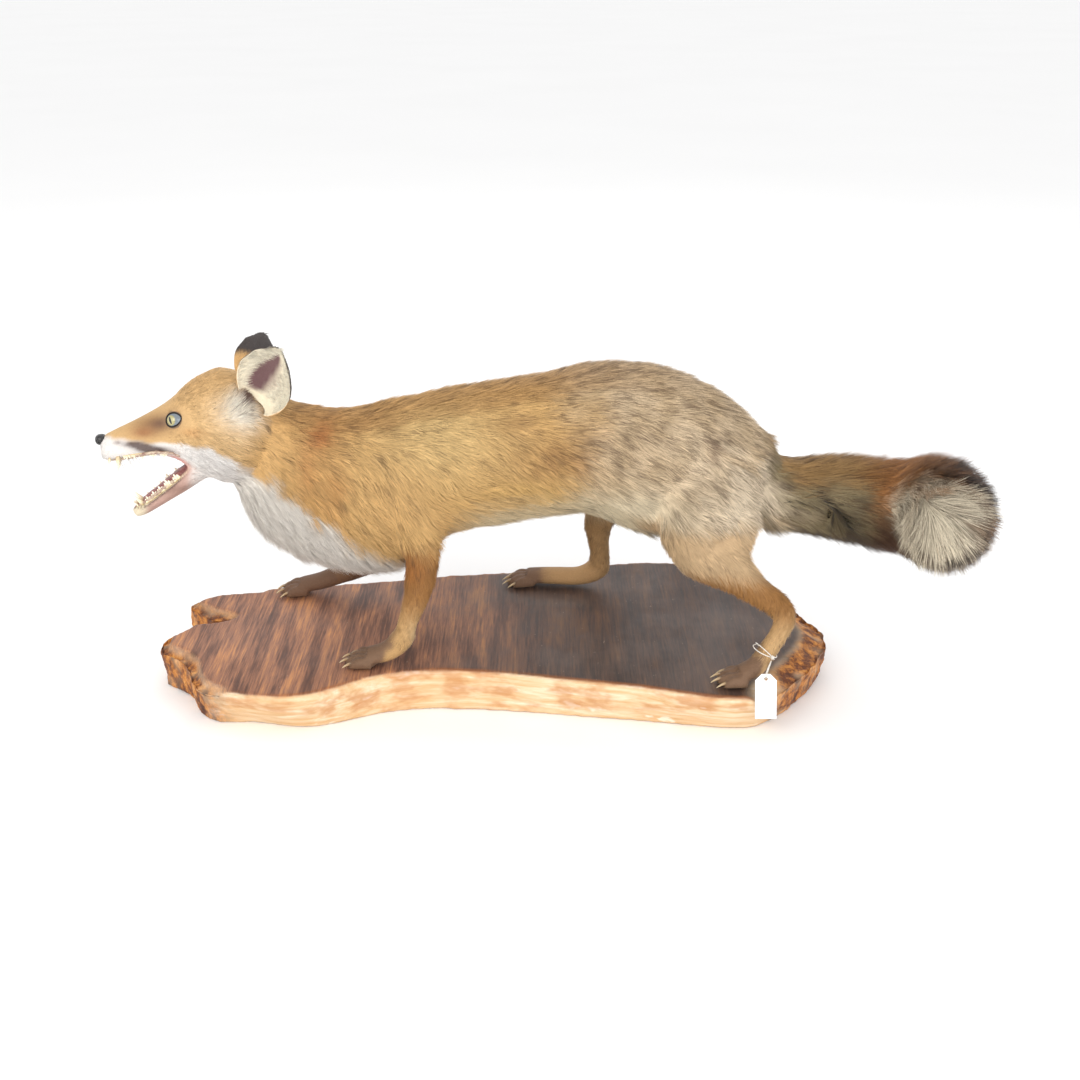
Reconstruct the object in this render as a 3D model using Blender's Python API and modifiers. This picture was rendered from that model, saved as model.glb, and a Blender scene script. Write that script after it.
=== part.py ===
"""A life-size mounted red fox: snarling, stalking, on a live-edge slab of timber.

The fox faces -X and its left side is towards -Y. The origin is the middle of the slab's
underside. The flesh is lofted whole, blended, then parted with thin cuts into head, jaw,
neck, trunk, legs and tail. Paws, ears, eyes, nose, tongue, slab and tag are pieces of their
own. Lengths in the tables are millimetres.
"""

import math

import bmesh
import bpy
from mathutils import Matrix, Vector

MM = 0.001
GAP = 0.3
RING_SIDES = 20

# ---------------------------------------------------------------- driving dimensions
SLAB_TOP = 45.0
FLESH_VOXEL = 3.0
FLESH_TRIANGLES = 2100

# Torso stations: x, centre z, lean of the section in degrees, up, down, half width.
TORSO = (
    (-300, 264, 22, 42, 40, 34),
    (-284, 258, 24, 50, 54, 43),
    (-262, 246, 28, 54, 72, 50),
    (-236, 228, 30, 67, 84, 56),
    (-205, 213, 24, 83, 92, 60),
    (-170, 205, 12, 92, 94, 63),
    (-130, 206, 4, 94, 91, 65),
    (-90, 225, 0, 82, 76, 65),
    (-40, 238, 0, 77, 76, 62),
    (0, 245, 0, 77, 76, 61),
    (40, 252, 0, 79, 79, 63),
    (76, 250, 0, 83, 89, 67),
    (114, 245, 2, 83, 95, 69),
    (150, 238, 8, 74, 82, 68),
    (180, 230, 18, 58, 66, 61),
    (205, 221, 28, 42, 50, 49),
    (222, 214, 34, 22, 32, 32),
)

# Head stations before it is turned: forward of the neck pivot, centre z, up, down, half width.
HEAD = (
    (12, 262, 38, 46, 42),
    (34, 268, 53, 58, 51),
    (55, 272, 55, 61, 53),
    (75, 272, 48, 55, 47),
    (91, 270, 40, 40, 38),
    (103, 267, 33, 27, 31),
    (117, 263, 27, 19, 24.5),
    (137, 259, 21.5, 15.5, 19),
    (155, 256, 17, 13.5, 15.5),
    (165, 255, 13, 12.5, 12.5),
    (170, 254, 8.5, 9, 8),
)
# Lower jaw stations: forward of the pivot, centre z, half thickness, half width.
JAW = (
    (58, 243, 22, 30),
    (84, 227, 14, 23),
    (106, 213, 10, 17),
    (125, 201, 8.2, 12.5),
    (138, 193.5, 7.2, 10),
    (145, 189.5, 4.5, 6.5),
)
NECK_PIVOT = (-250, 0, 270)
HEAD_YAW = 12.0
HEAD_ROLL = -8.0

# Limb stations: x, distance out from the midline, z, half depth, half width.
FORE_LEFT = (
    (-132, 38, 225, 34, 24),
    (-122, 52, 192, 29, 22),
    (-113, 62, 165, 22, 18),
    (-114, 68, 138, 18.5, 16),
    (-120, 71, 112, 14.5, 13.5),
    (-128, 74, 90, 11.5, 11.5),
    (-132, 76, 77, 12.5, 12),
    (-142, 77, 65, 11.5, 13),
    (-154, 76, 58, 10, 14),
    (-168, 76, 55, 8.5, 15),
)
FORE_RIGHT = (
    (-140, 38, 222, 34, 24),
    (-118, 52, 180, 28, 22),
    (-112, 62, 142, 24, 19),
    (-130, 70, 114, 19, 16),
    (-160, 76, 95, 15.5, 14),
    (-192, 80, 80, 13, 13),
    (-216, 83, 70, 11.5, 13),
    (-236, 86, 61, 10, 14),
    (-258, 89, 55, 8.5, 15),
)
HIND_LEFT = (
    (172, 36, 250, 46, 30),
    (158, 48, 215, 48, 33),
    (148, 58, 182, 40, 31),
    (154, 66, 160, 30, 25),
    (182, 76, 147, 24, 19),
    (205, 87, 131, 16.5, 15.5),
    (226, 94, 118, 14, 13),
    (233, 98, 106, 12.5, 11.5),
    (225, 103, 90, 11, 11),
    (215, 107, 75, 10.5, 12),
    (205, 111, 62, 10, 13.5),
    (190, 114, 55, 8.5, 14.5),
)
HAMSTRING_LEFT = (
    (192, 30, 252, 26, 22),
    (190, 46, 215, 22, 22),
    (190, 58, 185, 21, 20),
    (187, 66, 161, 16, 14),
)
HIND_RIGHT = (
    (160, 36, 250, 46, 30),
    (126, 48, 218, 46, 33),
    (92, 60, 188, 38, 30),
    (69, 74, 157, 25, 22),
    (62, 86, 128, 17.5, 16),
    (63, 94, 103, 13.5, 13),
    (65, 99, 84, 12.5, 12),
    (62, 103, 68, 13.5, 13),
    (44, 106, 58, 11, 13),
    (20, 109, 56.5, 10, 14),
    (4, 111, 56, 9.5, 14),
    (-14, 113, 55, 8.5, 14.5),
)

# Tail stations: x, y, z, radius.
TAIL = (
    (208, 0, 214, 36),
    (232, 0, 200, 44),
    (262, 1, 194, 48),
    (296, 3, 190, 50),
    (328, 4, 184, 52),
    (352, -4, 184, 54),
    (370, -22, 188, 57),
    (377, -46, 193, 57),
    (375, -70, 197, 51),
    (370, -92, 201, 38),
    (366, -106, 204, 19),
)

# Paws: toe-end centre x, distance out, heading in degrees off -X, half width of the foot.
PAWS = {
    "fore_paw_left": dict(ball=(-166, -76), heading=-8, half_width=15.5),
    "fore_paw_right": dict(ball=(-256, 89), heading=4, half_width=15.5),
    "hind_paw_left": dict(ball=(192, -114), heading=-4, half_width=15),
    "hind_paw_right": dict(ball=(-12, 113), heading=4, half_width=15),
}
TOE_SPREAD = (-0.72, -0.25, 0.25, 0.72)
TOE_REACH = (17, 22, 22, 17)

# Slab outline, anticlockwise from above: x, y, and how far the underside is drawn in.
SLAB_OUTLINE = (
    (-377, 70, 4), (-350, 95, 6), (-289, 104, 8), (-199, 117, 8), (-107, 136, 8),
    (-10, 149, 8), (85, 169, 8), (140, 174, 8), (196, 150, 8), (245, 98, 7),
    (276, 50, 4), (292, 10, 4), (288, -30, 6), (262, -78, 10), (234, -116, 14),
    (205, -142, 22), (160, -141, 22), (97, -122, 14), (39, -110, 10), (-19, -97, 6),
    (-70, -90, 4), (-115, -89, 4), (-155, -98, 4), (-185, -117, 9), (-213, -134, 16),
    (-245, -141, 24), (-282, -135, 26), (-318, -122, 14), (-338, -96, 6), (-346, -70, 3),
    (-362, -52, 3), (-381, -38, 4), (-385, -14, 4), (-372, 8, 4), (-364, 22, 4),
    (-344, 27, 3), (-329, 33, 2), (-343, 38, 3), (-362, 52, 4),
)  # fmt: skip


# ---------------------------------------------------------------- scene helpers
def clear_scene():
    """Removes every object the file opened with."""
    for old in list(bpy.data.objects):
        bpy.data.objects.remove(old, do_unlink=True)


def new_collection(name, hidden=False):
    """A collection linked to the scene."""
    made = bpy.data.collections.new(name)
    made.hide_render = hidden
    bpy.context.scene.collection.children.link(made)
    return made


def material(name, colour, roughness, metallic=0.0):
    """A plain Principled finish."""
    made = bpy.data.materials.new(name)
    made.use_nodes = True
    shader = made.node_tree.nodes["Principled BSDF"]
    shader.inputs["Base Color"].default_value = (*colour, 1.0)
    shader.inputs["Roughness"].default_value = roughness
    shader.inputs["Metallic"].default_value = metallic
    return made


def object_from(bm, name, collection, finish=None):
    """Turns a bmesh into a named object, faces outwards."""
    bmesh.ops.recalc_face_normals(bm, faces=bm.faces)
    mesh = bpy.data.meshes.new(name)
    bm.to_mesh(mesh)
    bm.free()
    made = bpy.data.objects.new(name, mesh)
    if finish:
        mesh.materials.append(finish)
    collection.objects.link(made)
    return made


def evaluated_mesh(obj):
    """The object's mesh with its modifiers in it."""
    bpy.context.view_layer.update()
    graph = bpy.context.evaluated_depsgraph_get()
    return bpy.data.meshes.new_from_object(obj.evaluated_get(graph))


def freeze(obj):
    """Replaces an object's mesh by its evaluated one and drops the modifiers."""
    mesh = evaluated_mesh(obj)
    obj.modifiers.clear()
    obj.data = mesh


def weld(obj):
    """Merges the slivers that a Boolean leaves along a cut."""
    bm = bmesh.new()
    bm.from_mesh(obj.data)
    bmesh.ops.remove_doubles(bm, verts=bm.verts, dist=0.02 * MM)
    bmesh.ops.dissolve_degenerate(bm, edges=bm.edges, dist=0.02 * MM)
    bm.to_mesh(obj.data)
    bm.free()


def boolean(obj, other, operation, use_self=False):
    """Applies one exact Boolean to obj."""
    cut = obj.modifiers.new(operation.lower(), "BOOLEAN")
    cut.operation = operation
    cut.object = other
    cut.solver = "EXACT"
    cut.use_self = use_self
    freeze(obj)
    weld(obj)


def copy_of(obj, name, collection):
    """A separate copy of an object with its own mesh."""
    made = obj.copy()
    made.data = obj.data.copy()
    made.name = name
    collection.objects.link(made)
    return made


def grown(obj, distance, collection):
    """A helper copy whose surface stands distance (mm) further out."""
    made = copy_of(obj, obj.name + "_grown", collection)
    bm = bmesh.new()
    bm.from_mesh(made.data)
    bm.normal_update()
    for vert in bm.verts:
        vert.co += vert.normal * distance * MM
    bm.to_mesh(made.data)
    bm.free()
    return made


def finish_mesh(obj):
    """Splits a node's faces into triangles and shades its round forms smooth."""
    bm = bmesh.new()
    bm.from_mesh(obj.data)
    bmesh.ops.triangulate(bm, faces=bm.faces)
    bm.to_mesh(obj.data)
    bm.free()
    weld(obj)
    obj.data.shade_smooth()
    obj.data.set_sharp_from_angle(angle=math.radians(50))


# ---------------------------------------------------------------- lofting
def oval(centre, side, rise, half_width, up, down, sides=RING_SIDES):
    """One oval ring about centre; side and rise are its unit axes."""
    ring = []
    for step in range(sides):
        turn = 2 * math.pi * step / sides
        height = up if math.sin(turn) > 0 else down
        ring.append(centre + side * half_width * math.cos(turn) + rise * height * math.sin(turn))
    return ring


def loft(bm, rings):
    """Skins closed rings of equal length and closes both ends."""
    rows = [[bm.verts.new(point * MM) for point in ring] for ring in rings]
    for near, far in zip(rows, rows[1:]):
        for i in range(len(near)):
            j = (i + 1) % len(near)
            bm.faces.new((near[i], near[j], far[j], far[i]))
    bm.faces.new(rows[0])
    bm.faces.new(rows[-1][::-1])


def spread(rows, between=3):
    """Catmull-Rom rows between the given ones, so that a loft runs smoothly."""
    rows = [Vector(row) for row in rows]
    made = []
    for i in range(len(rows) - 1):
        before, start = rows[max(i - 1, 0)], rows[i]
        end, after = rows[i + 1], rows[min(i + 2, len(rows) - 1)]
        for step in range(between):
            t = step / between
            made.append(
                0.5 * (
                    2 * start
                    + (end - before) * t
                    + (2 * before - 5 * start + 4 * end - after) * t * t
                    + (3 * start - before - 3 * end + after) * t ** 3
                )
            )
    made.append(rows[-1])
    return made


def torso_rings():
    """Sections of neck and trunk, leaning with the spine."""
    rings = []
    for x, z, lean, up, down, half_width in spread(TORSO):
        turn = math.radians(lean)
        rise = Vector((math.sin(turn), 0, math.cos(turn)))
        rings.append(oval(Vector((x, 0, z)), Vector((0, 1, 0)), rise, half_width, up, down))
    return rings


def head_rings():
    """Sections of skull and muzzle, square to the head's own length."""
    return [
        oval(Vector((NECK_PIVOT[0] - ahead, 0, z)), Vector((0, 1, 0)), Vector((0, 0, 1)),
             half_width, up, down)
        for ahead, z, up, down, half_width in spread(HEAD)
    ]


def path_rings(centres, sizes, side_hint=Vector((0, 1, 0)), sides=RING_SIDES):
    """Oval sections square to a path; sizes are (half depth, half width) pairs."""
    rings = []
    last = len(centres) - 1
    for i, (centre, (depth, width)) in enumerate(zip(centres, sizes)):
        along = (centres[min(i + 1, last)] - centres[max(i - 1, 0)]).normalized()
        rise = side_hint.cross(along).normalized()
        side = along.cross(rise)
        rings.append(oval(centre, side, rise, width, depth, depth, sides))
    return rings


def jaw_rings():
    """Sections of the lower jaw along its own slope."""
    rows = spread(JAW)
    centres = [Vector((NECK_PIVOT[0] - row[0], 0, row[1])) for row in rows]
    return path_rings(centres, [(row[2], row[3]) for row in rows])


def limb_rings(stations, side):
    """Sections of a leg; side is -1 on the fox's left and +1 on its right."""
    rows = [r for r in spread([(x, out * side, z, depth) for x, out, z, depth, _ in stations])]
    widths = [r[0] for r in spread([(width, 0) for *_, width in stations])]
    centres = [row.to_3d() for row in rows]
    return path_rings(centres, [(row[3], width) for row, width in zip(rows, widths)])


def tail_rings():
    """Sections of the brush, which bends towards the fox's left at its end."""
    rows = spread(TAIL)
    centres = [row.to_3d() for row in rows]
    return path_rings(centres, [(row[3], row[3]) for row in rows], Vector((0.35, 0.35, 0.87)).normalized())


def head_pose():
    """The turn and tilt of the head about the neck pivot."""
    pivot = Matrix.Translation(Vector(NECK_PIVOT) * MM)
    yaw = Matrix.Rotation(math.radians(HEAD_YAW), 4, "Z")
    roll = Matrix.Rotation(math.radians(HEAD_ROLL), 4, "X")
    return pivot @ yaw @ roll @ pivot.inverted()


def in_head(ahead, side, z):
    """A point in the unturned head: ahead of the pivot, out to the fox's right, height."""
    return Vector((NECK_PIVOT[0] - ahead, side, z))


# ---------------------------------------------------------------- flesh, whole then parted
def loft_object(name, rings, collection, pose=Matrix.Identity(4)):
    """One closed loft as an object, placed by pose."""
    bm = bmesh.new()
    loft(bm, rings)
    bm.transform(pose)
    return object_from(bm, name, collection)


def blended_flesh(helpers):
    """All the lofts fused by a voxel remesh, smoothed and thinned to a light mesh."""
    lofts = [
        loft_object("loft_torso", torso_rings(), helpers),
        loft_object("loft_head", head_rings(), helpers, head_pose()),
        loft_object("loft_jaw", jaw_rings(), helpers, head_pose()),
        loft_object("loft_tail", tail_rings(), helpers),
        loft_object("loft_fore_left", limb_rings(FORE_LEFT, -1), helpers),
        loft_object("loft_fore_right", limb_rings(FORE_RIGHT, 1), helpers),
        loft_object("loft_hind_left", limb_rings(HIND_LEFT, -1), helpers),
        loft_object("loft_hamstring", limb_rings(HAMSTRING_LEFT, -1), helpers),
        loft_object("loft_hind_right", limb_rings(HIND_RIGHT, 1), helpers),
    ]
    bm = bmesh.new()
    for piece in lofts:
        bm.from_mesh(piece.data)
    flesh = object_from(bm, "flesh", helpers)
    remesh = flesh.modifiers.new("fuse", "REMESH")
    remesh.mode = "VOXEL"
    remesh.voxel_size = FLESH_VOXEL * MM
    smooth = flesh.modifiers.new("blend", "SMOOTH")
    smooth.factor = 0.5
    smooth.iterations = 5
    freeze(flesh)
    thin = flesh.modifiers.new("thin", "DECIMATE")
    thin.ratio = FLESH_TRIANGLES / (2 * len(flesh.data.polygons))
    freeze(flesh)
    return flesh


def prism(name, outline, low, high, helpers, pose=Matrix.Identity(4)):
    """A cutter: an outline in the side view (x, z), drawn across from y = low to y = high."""
    bm = bmesh.new()
    loft(bm, [[Vector((x, y, z)) for x, z in outline] for y in (low, high)])
    bm.transform(pose)
    return object_from(bm, name, helpers)


def islands(bm):
    """The connected groups of faces in a bmesh."""
    left = set(bm.faces)
    groups = []
    while left:
        todo = [left.pop()]
        group = set(todo)
        while todo:
            for edge in todo.pop().edges:
                for face in edge.link_faces:
                    if face in left:
                        left.discard(face)
                        group.add(face)
                        todo.append(face)
        groups.append(group)
    return groups


def keep_largest(obj):
    """Drops the slivers that a cut leaves beside the main body."""
    bm = bmesh.new()
    bm.from_mesh(obj.data)
    groups = islands(bm)
    largest = max(groups, key=len)
    for group in groups:
        if group is not largest:
            bmesh.ops.delete(bm, geom=list({v for face in group for v in face.verts}))
    bm.to_mesh(obj.data)
    bm.free()


def part_off(flesh, region, name, collection, finish, helpers):
    """Cuts the flesh inside region off as a node of its own, GAP away from the rest."""
    piece = copy_of(flesh, name, collection)
    boolean(piece, region, "INTERSECT")
    keep_largest(piece)
    piece.data.materials.clear()
    piece.data.materials.append(finish)
    boolean(flesh, grown(region, GAP * 1.8, helpers), "DIFFERENCE")
    return piece


# ---------------------------------------------------------------- reading the head's form
def between(rows, ahead):
    """A station row of the head or jaw read at a distance ahead of the pivot."""
    for near, far in zip(rows, rows[1:]):
        if ahead <= far[0]:
            break
    t = max(0.0, min(1.0, (ahead - near[0]) / (far[0] - near[0])))
    return [a + (b - a) * t for a, b in zip(near, far)]


def upper_gum(ahead, share):
    """A point on the muzzle's underside, share of the half width out to one side."""
    _, z, _, down, half_width = between(HEAD, ahead)
    return in_head(ahead, share * half_width, z - down * math.sqrt(1 - share * share))


def lower_gum(ahead, share):
    """A point on the jaw's upper side, and the direction in which a tooth stands there."""
    _, z, half, half_width = between(JAW, ahead)
    slope = (JAW[3][1] - JAW[1][1]) / (JAW[3][0] - JAW[1][0])
    rise = Vector((slope, 0, 1)).normalized()
    centre = in_head(ahead, share * half_width, z)
    return centre + rise * half * math.sqrt(1 - share * share), rise


# ---------------------------------------------------------------- teeth, mouth, eyes, nose
UPPER_CANINE = dict(ahead=153, share=0.66, length=15.0, radius=2.6)
LOWER_CANINE = dict(ahead=133, share=0.66, length=12.0, radius=2.3)
UPPER_CHEEK_TEETH = ((145, 4.2), (138, 4.6), (131, 5.0), (121, 6.0), (111, 5.0))
LOWER_CHEEK_TEETH = ((126, 4.6), (120, 4.8), (114, 5.2), (107, 6.6), (98, 5.0))
INCISOR_SHARES = (-0.62, -0.38, -0.13, 0.13, 0.38, 0.62)
# Mouth cutter stations: ahead, centre z, up, down, half width.
MOUTH = (
    (60, 241, 4, 4, 7),
    (76, 239, 8, 8, 13),
    (92, 236, 11, 11, 16),
    (104, 232, 14, 13.5, 15.5),
    (124, 226.5, 22, 21.5, 11),
    (144, 221, 28.5, 24, 8),
    (158, 219, 27, 20, 5),
)
TONGUE = (
    (70, 239.5, 2.5, 8),
    (86, 234, 3.6, 11),
    (103, 223, 3.8, 11),
    (120, 211.5, 3.2, 8.5),
    (134, 203, 2.2, 5.5),
)
EYE = dict(ahead=96, side=24.5, z=281, radius=9.0)
NOSE = dict(ahead=168.5, z=264.5, size=(5.5, 7.0, 5.0))


def tooth(bm, root, direction, length, radius, sides=5):
    """Adds a pointed tooth whose base is sunk in the gum."""
    sunk = 3.5
    made = bmesh.ops.create_cone(
        bm, cap_ends=True, segments=sides, radius1=radius * MM, radius2=radius * 0.18 * MM,
        depth=(length + sunk) * MM,
    )
    turn = direction.to_track_quat("Z", "Y").to_matrix().to_4x4()
    middle = (root + direction * (length - sunk) / 2) * MM
    bmesh.ops.transform(bm, matrix=Matrix.Translation(middle) @ turn, verts=made["verts"])


def upper_teeth(helpers):
    """Canines, incisors and cheek teeth that hang from the muzzle."""
    bm = bmesh.new()
    down = Vector((0, 0, -1))
    for side in (-1, 1):
        fang = UPPER_CANINE
        tooth(bm, upper_gum(fang["ahead"], side * fang["share"]),
              Vector((-0.12, 0, -1)).normalized(), fang["length"], fang["radius"])
        for ahead, length in UPPER_CHEEK_TEETH:
            tooth(bm, upper_gum(ahead, side * 0.74), down, length, 2.4)
    for share in INCISOR_SHARES:
        tooth(bm, upper_gum(163 - 3 * abs(share), share), down, 5.0, 1.3)
    teeth = object_from(bm, "upper_teeth", helpers)
    teeth.matrix_world = head_pose()
    return teeth


def lower_teeth(helpers):
    """Canines, incisors and cheek teeth that stand on the lower jaw."""
    bm = bmesh.new()
    for side in (-1, 1):
        fang = LOWER_CANINE
        root, rise = lower_gum(fang["ahead"], side * fang["share"])
        tooth(bm, root, (rise + Vector((-0.25, 0, 0))).normalized(), fang["length"], fang["radius"])
        for ahead, length in LOWER_CHEEK_TEETH:
            root, rise = lower_gum(ahead, side * 0.8)
            tooth(bm, root, rise, length, 2.3)
    for share in INCISOR_SHARES:
        root, rise = lower_gum(138.5 - 2 * abs(share), share)
        tooth(bm, root, (rise + Vector((-0.3, 0, 0))).normalized(), 4.2, 0.95)
    teeth = object_from(bm, "lower_teeth", helpers)
    teeth.matrix_world = head_pose()
    return teeth


def mouth_cutter(helpers):
    """The hollow between palate and tongue."""
    rings = [
        oval(in_head(ahead, 0, z), Vector((0, 1, 0)), Vector((0, 0, 1)), half_width, up, down, 12)
        for ahead, z, up, down, half_width in spread(MOUTH, 1)
    ]
    return loft_object("mouth_cutter", rings, helpers, head_pose())


def make_tongue(collection, finish):
    """A low tongue lying along the lower jaw."""
    rows = spread(TONGUE, 1)
    centres = [in_head(row[0], 0, row[1]) for row in rows]
    bm = bmesh.new()
    loft(bm, path_rings(centres, [(row[2], row[3]) for row in rows], sides=12))
    bm.transform(head_pose())
    return object_from(bm, "tongue", collection, finish)


def ball(name, centre, size, collection, finish=None, segments=14):
    """An ellipsoid in the head's frame; size is its three half lengths."""
    bm = bmesh.new()
    bmesh.ops.create_uvsphere(bm, u_segments=segments, v_segments=segments // 2, radius=MM)
    bmesh.ops.scale(bm, vec=Vector(size), verts=bm.verts)
    bm.transform(head_pose() @ Matrix.Translation(centre * MM))
    return object_from(bm, name, collection, finish)


def make_eye(side, collection, finish):
    """One glass eye; side is -1 for the fox's left."""
    name = "eye_left" if side < 0 else "eye_right"
    centre = in_head(EYE["ahead"], side * EYE["side"], EYE["z"])
    return ball(name, centre, [EYE["radius"]] * 3, collection, finish)


# ---------------------------------------------------------------- ears
EAR_LENGTH = 77
EAR_WALL = 3.2
EAR_BASE = dict(ahead=20, side=37, z=292)
EAR_ROWS = ((0.0, 25, 15), (0.2, 29, 16), (0.4, 29.5, 14), (0.6, 25, 10.5), (0.8, 17, 6.5),
            (0.93, 8.5, 3), (1.0, 3, 1))  # fmt: skip
EAR_COLUMNS = 6


def make_ear(side, outward_lean, back_lean, collection, finish):
    """A cupped ear, open outwards; the leans are in degrees from upright."""
    out, back = math.radians(outward_lean), math.radians(back_lean)
    axis = Vector((math.sin(back), side * math.sin(out), math.cos(out) * math.cos(back))).normalized()
    facing = Vector((-0.42, side * 0.9, 0.0))
    facing = (facing - axis * facing.dot(axis)).normalized()
    across = facing.cross(axis).normalized() * side
    base = in_head(EAR_BASE["ahead"], side * EAR_BASE["side"], EAR_BASE["z"])
    bm = bmesh.new()
    grid = []
    for share, half_width, cup in EAR_ROWS:
        row = []
        for step in range(EAR_COLUMNS + 1):
            turn = math.pi * (step / EAR_COLUMNS - 0.5)
            point = (
                base + axis * EAR_LENGTH * share
                + across * half_width * math.sin(turn) - facing * cup * math.cos(turn)
            )
            row.append(bm.verts.new(point * MM))
        grid.append(row)
    for low, high in zip(grid, grid[1:]):
        for i in range(EAR_COLUMNS):
            bm.faces.new((low[i], low[i + 1], high[i + 1], high[i]))
    bm.transform(head_pose())
    ear = object_from(bm, "ear_left" if side < 0 else "ear_right", collection, finish)
    wall = ear.modifiers.new("wall", "SOLIDIFY")
    wall.thickness = EAR_WALL * MM
    wall.offset = 0.0
    freeze(ear)
    return ear


# ---------------------------------------------------------------- feet
TOE_ROWS = ((-4, 6.5, 6.2), (6, 6.2, 6.0), (14, 5.2, 5.3), (19, 3.4, 3.6))
CLAW_LENGTH = 9.0
CLAW_RADIUS = 1.7


def add_toe(bm, start, heading, reach):
    """One toe with its claw; start is its root on the foot and heading its unit direction."""
    side = Vector((-heading.y, heading.x, 0))
    rise = Vector((0, 0, 1))
    rings = []
    for along, half_height, half_width in TOE_ROWS:
        centre = start + heading * along * reach / 19
        centre.z = SLAB_TOP + GAP + half_height * 0.97
        rings.append(oval(centre, side, rise, half_width, half_height, half_height, sides=7))
    loft(bm, rings)
    tip = start + heading * (reach - 2)
    claw_rings = []
    for share, radius in ((0.0, 1.0), (0.55, 0.7), (1.0, 0.2)):
        centre = tip + heading * CLAW_LENGTH * share
        centre.z = SLAB_TOP + 6.0 - 3.2 * share * share
        r = CLAW_RADIUS * radius
        claw_rings.append(oval(centre, side, rise, r * 0.8, r, r, sides=5))
    loft(bm, claw_rings)


def make_toes(spec, side, helpers):
    """The four toes and claws of one foot."""
    turn = math.radians(spec["heading"])
    heading = Vector((-math.cos(turn), -math.sin(turn), 0))
    across = Vector((-heading.y, heading.x, 0))
    centre = Vector((*spec["ball"], 0))
    bm = bmesh.new()
    for share, reach in zip(TOE_SPREAD, TOE_REACH):
        splay = Matrix.Rotation(math.radians(11 * share), 3, "Z")
        start = centre + across * share * spec["half_width"]
        add_toe(bm, start, (splay @ heading).normalized(), reach)
    return object_from(bm, "toes", helpers)


# ---------------------------------------------------------------- slab and tag
def smooth_outline(points, between_points=2):
    """A closed Catmull-Rom curve through the outline's points."""
    count = len(points)
    made = []
    for i in range(count):
        p0, p1, p2, p3 = (Vector(points[(i + k) % count]) for k in (-1, 0, 1, 2))
        for step in range(between_points):
            t = step / between_points
            made.append(
                0.5 * (
                    2 * p1 + (p2 - p0) * t + (2 * p0 - 5 * p1 + 4 * p2 - p3) * t * t
                    + (3 * p1 - p0 - 3 * p2 + p3) * t ** 3
                )
            )
    return made


def make_slab(collection, finish):
    """The waney-edged slab: a softened rim above a side that draws in to the underside."""
    outline = smooth_outline(SLAB_OUTLINE)
    count = len(outline)
    inward = []
    for i, point in enumerate(outline):
        along = (outline[(i + 1) % count] - outline[i - 1]).to_2d().normalized()
        inward.append(Vector((along.y, -along.x)))
    turns = sum(a.x * b.y - b.x * a.y for a, b in zip(outline, outline[1:] + outline[:1]))
    sign = -1 if turns > 0 else 1
    levels = ((0.0, 1.0), (21.0, 0.35), (38.5, 0.0), (SLAB_TOP, 0.3))
    bm = bmesh.new()
    rings = []
    for z, share in levels:
        ring = []
        for point, normal in zip(outline, inward):
            drawn = share * point.z if z < 40 else share * 6.0
            spot = point.to_2d() + normal * sign * drawn
            ring.append(Vector((spot.x, spot.y, z)))
        rings.append(ring)
    loft(bm, rings)
    return object_from(bm, "base_slab", collection, finish)


TAG_WIDTH, TAG_HEIGHT, TAG_THICKNESS = 20.0, 42.0, 0.8
TAG_HOLE = 1.8
TAG_HOLE_DOWN = 4.5
TAG_CENTRE = (211, -141.8, 46.5)
TAG_LEAN = 22.0
THREAD_RADIUS = 0.5
ANKLE_CENTRE = (213.5, -107.2, 76)
ANKLE_AXIS = (0.54, 0.2, 0.82)
ANKLE_RADII = (13.6, 14.2)
KNOT_TURN = -0.95
KNOT_SIZE = (1.9, 1.9, 2.9)
LOOP_SPACING = 2.6
# The doubled thread from the knot through the card's hole and back, from the hole's middle:
# across the card, out from its face, and up its length.
THREAD_ROUTE = (
    (6.4, -8.8, 15.6), (5.6, -7.0, 14.1), (4.6, -5.0, 12.3), (3.5, -2.9, 10.4), (2.3, -0.7, 8.2),
    (1.2, 1.2, 5.9), (0.4, 2.2, 3.5), (0.0, 1.7, 1.1), (0.0, 0.0, 0.2), (0.0, -1.6, 1.0),
    (0.3, -2.3, 3.2), (1.0, -3.1, 5.5), (2.1, -4.4, 7.9), (3.4, -6.2, 10.2), (4.8, -8.2, 12.3),
    (6.0, -10.1, 14.2), (6.8, -11.6, 15.4),
)  # fmt: skip


def tag_pose():
    """Where the card hangs, leaning out against the slab's edge."""
    return Matrix.Translation(Vector(TAG_CENTRE) * MM) @ Matrix.Rotation(
        math.radians(90 - TAG_LEAN), 4, "X"
    )


def make_tag(collection, helpers, finish):
    """A blank card label with clipped upper corners and a hole."""
    half, top, clip = TAG_WIDTH / 2, TAG_HEIGHT / 2, 6.0
    corners = ((-half, -top), (half, -top), (half, top - clip), (half - clip, top),
               (clip - half, top), (-half, top - clip))  # fmt: skip
    bm = bmesh.new()
    loft(bm, [[Vector((x, y, z)) for x, y in corners]
              for z in (-TAG_THICKNESS / 2, TAG_THICKNESS / 2)])
    tag = object_from(bm, "tag_card", collection, finish)
    bm = bmesh.new()
    bmesh.ops.create_cone(bm, cap_ends=True, segments=16, radius1=TAG_HOLE * MM,
                          radius2=TAG_HOLE * MM, depth=4 * MM)
    bmesh.ops.translate(bm, vec=Vector((0, top - TAG_HOLE_DOWN, 0)) * MM, verts=bm.verts)
    hole = object_from(bm, "tag_hole", helpers)
    boolean(tag, hole, "DIFFERENCE")
    tag.data.transform(tag_pose())
    return tag


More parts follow.
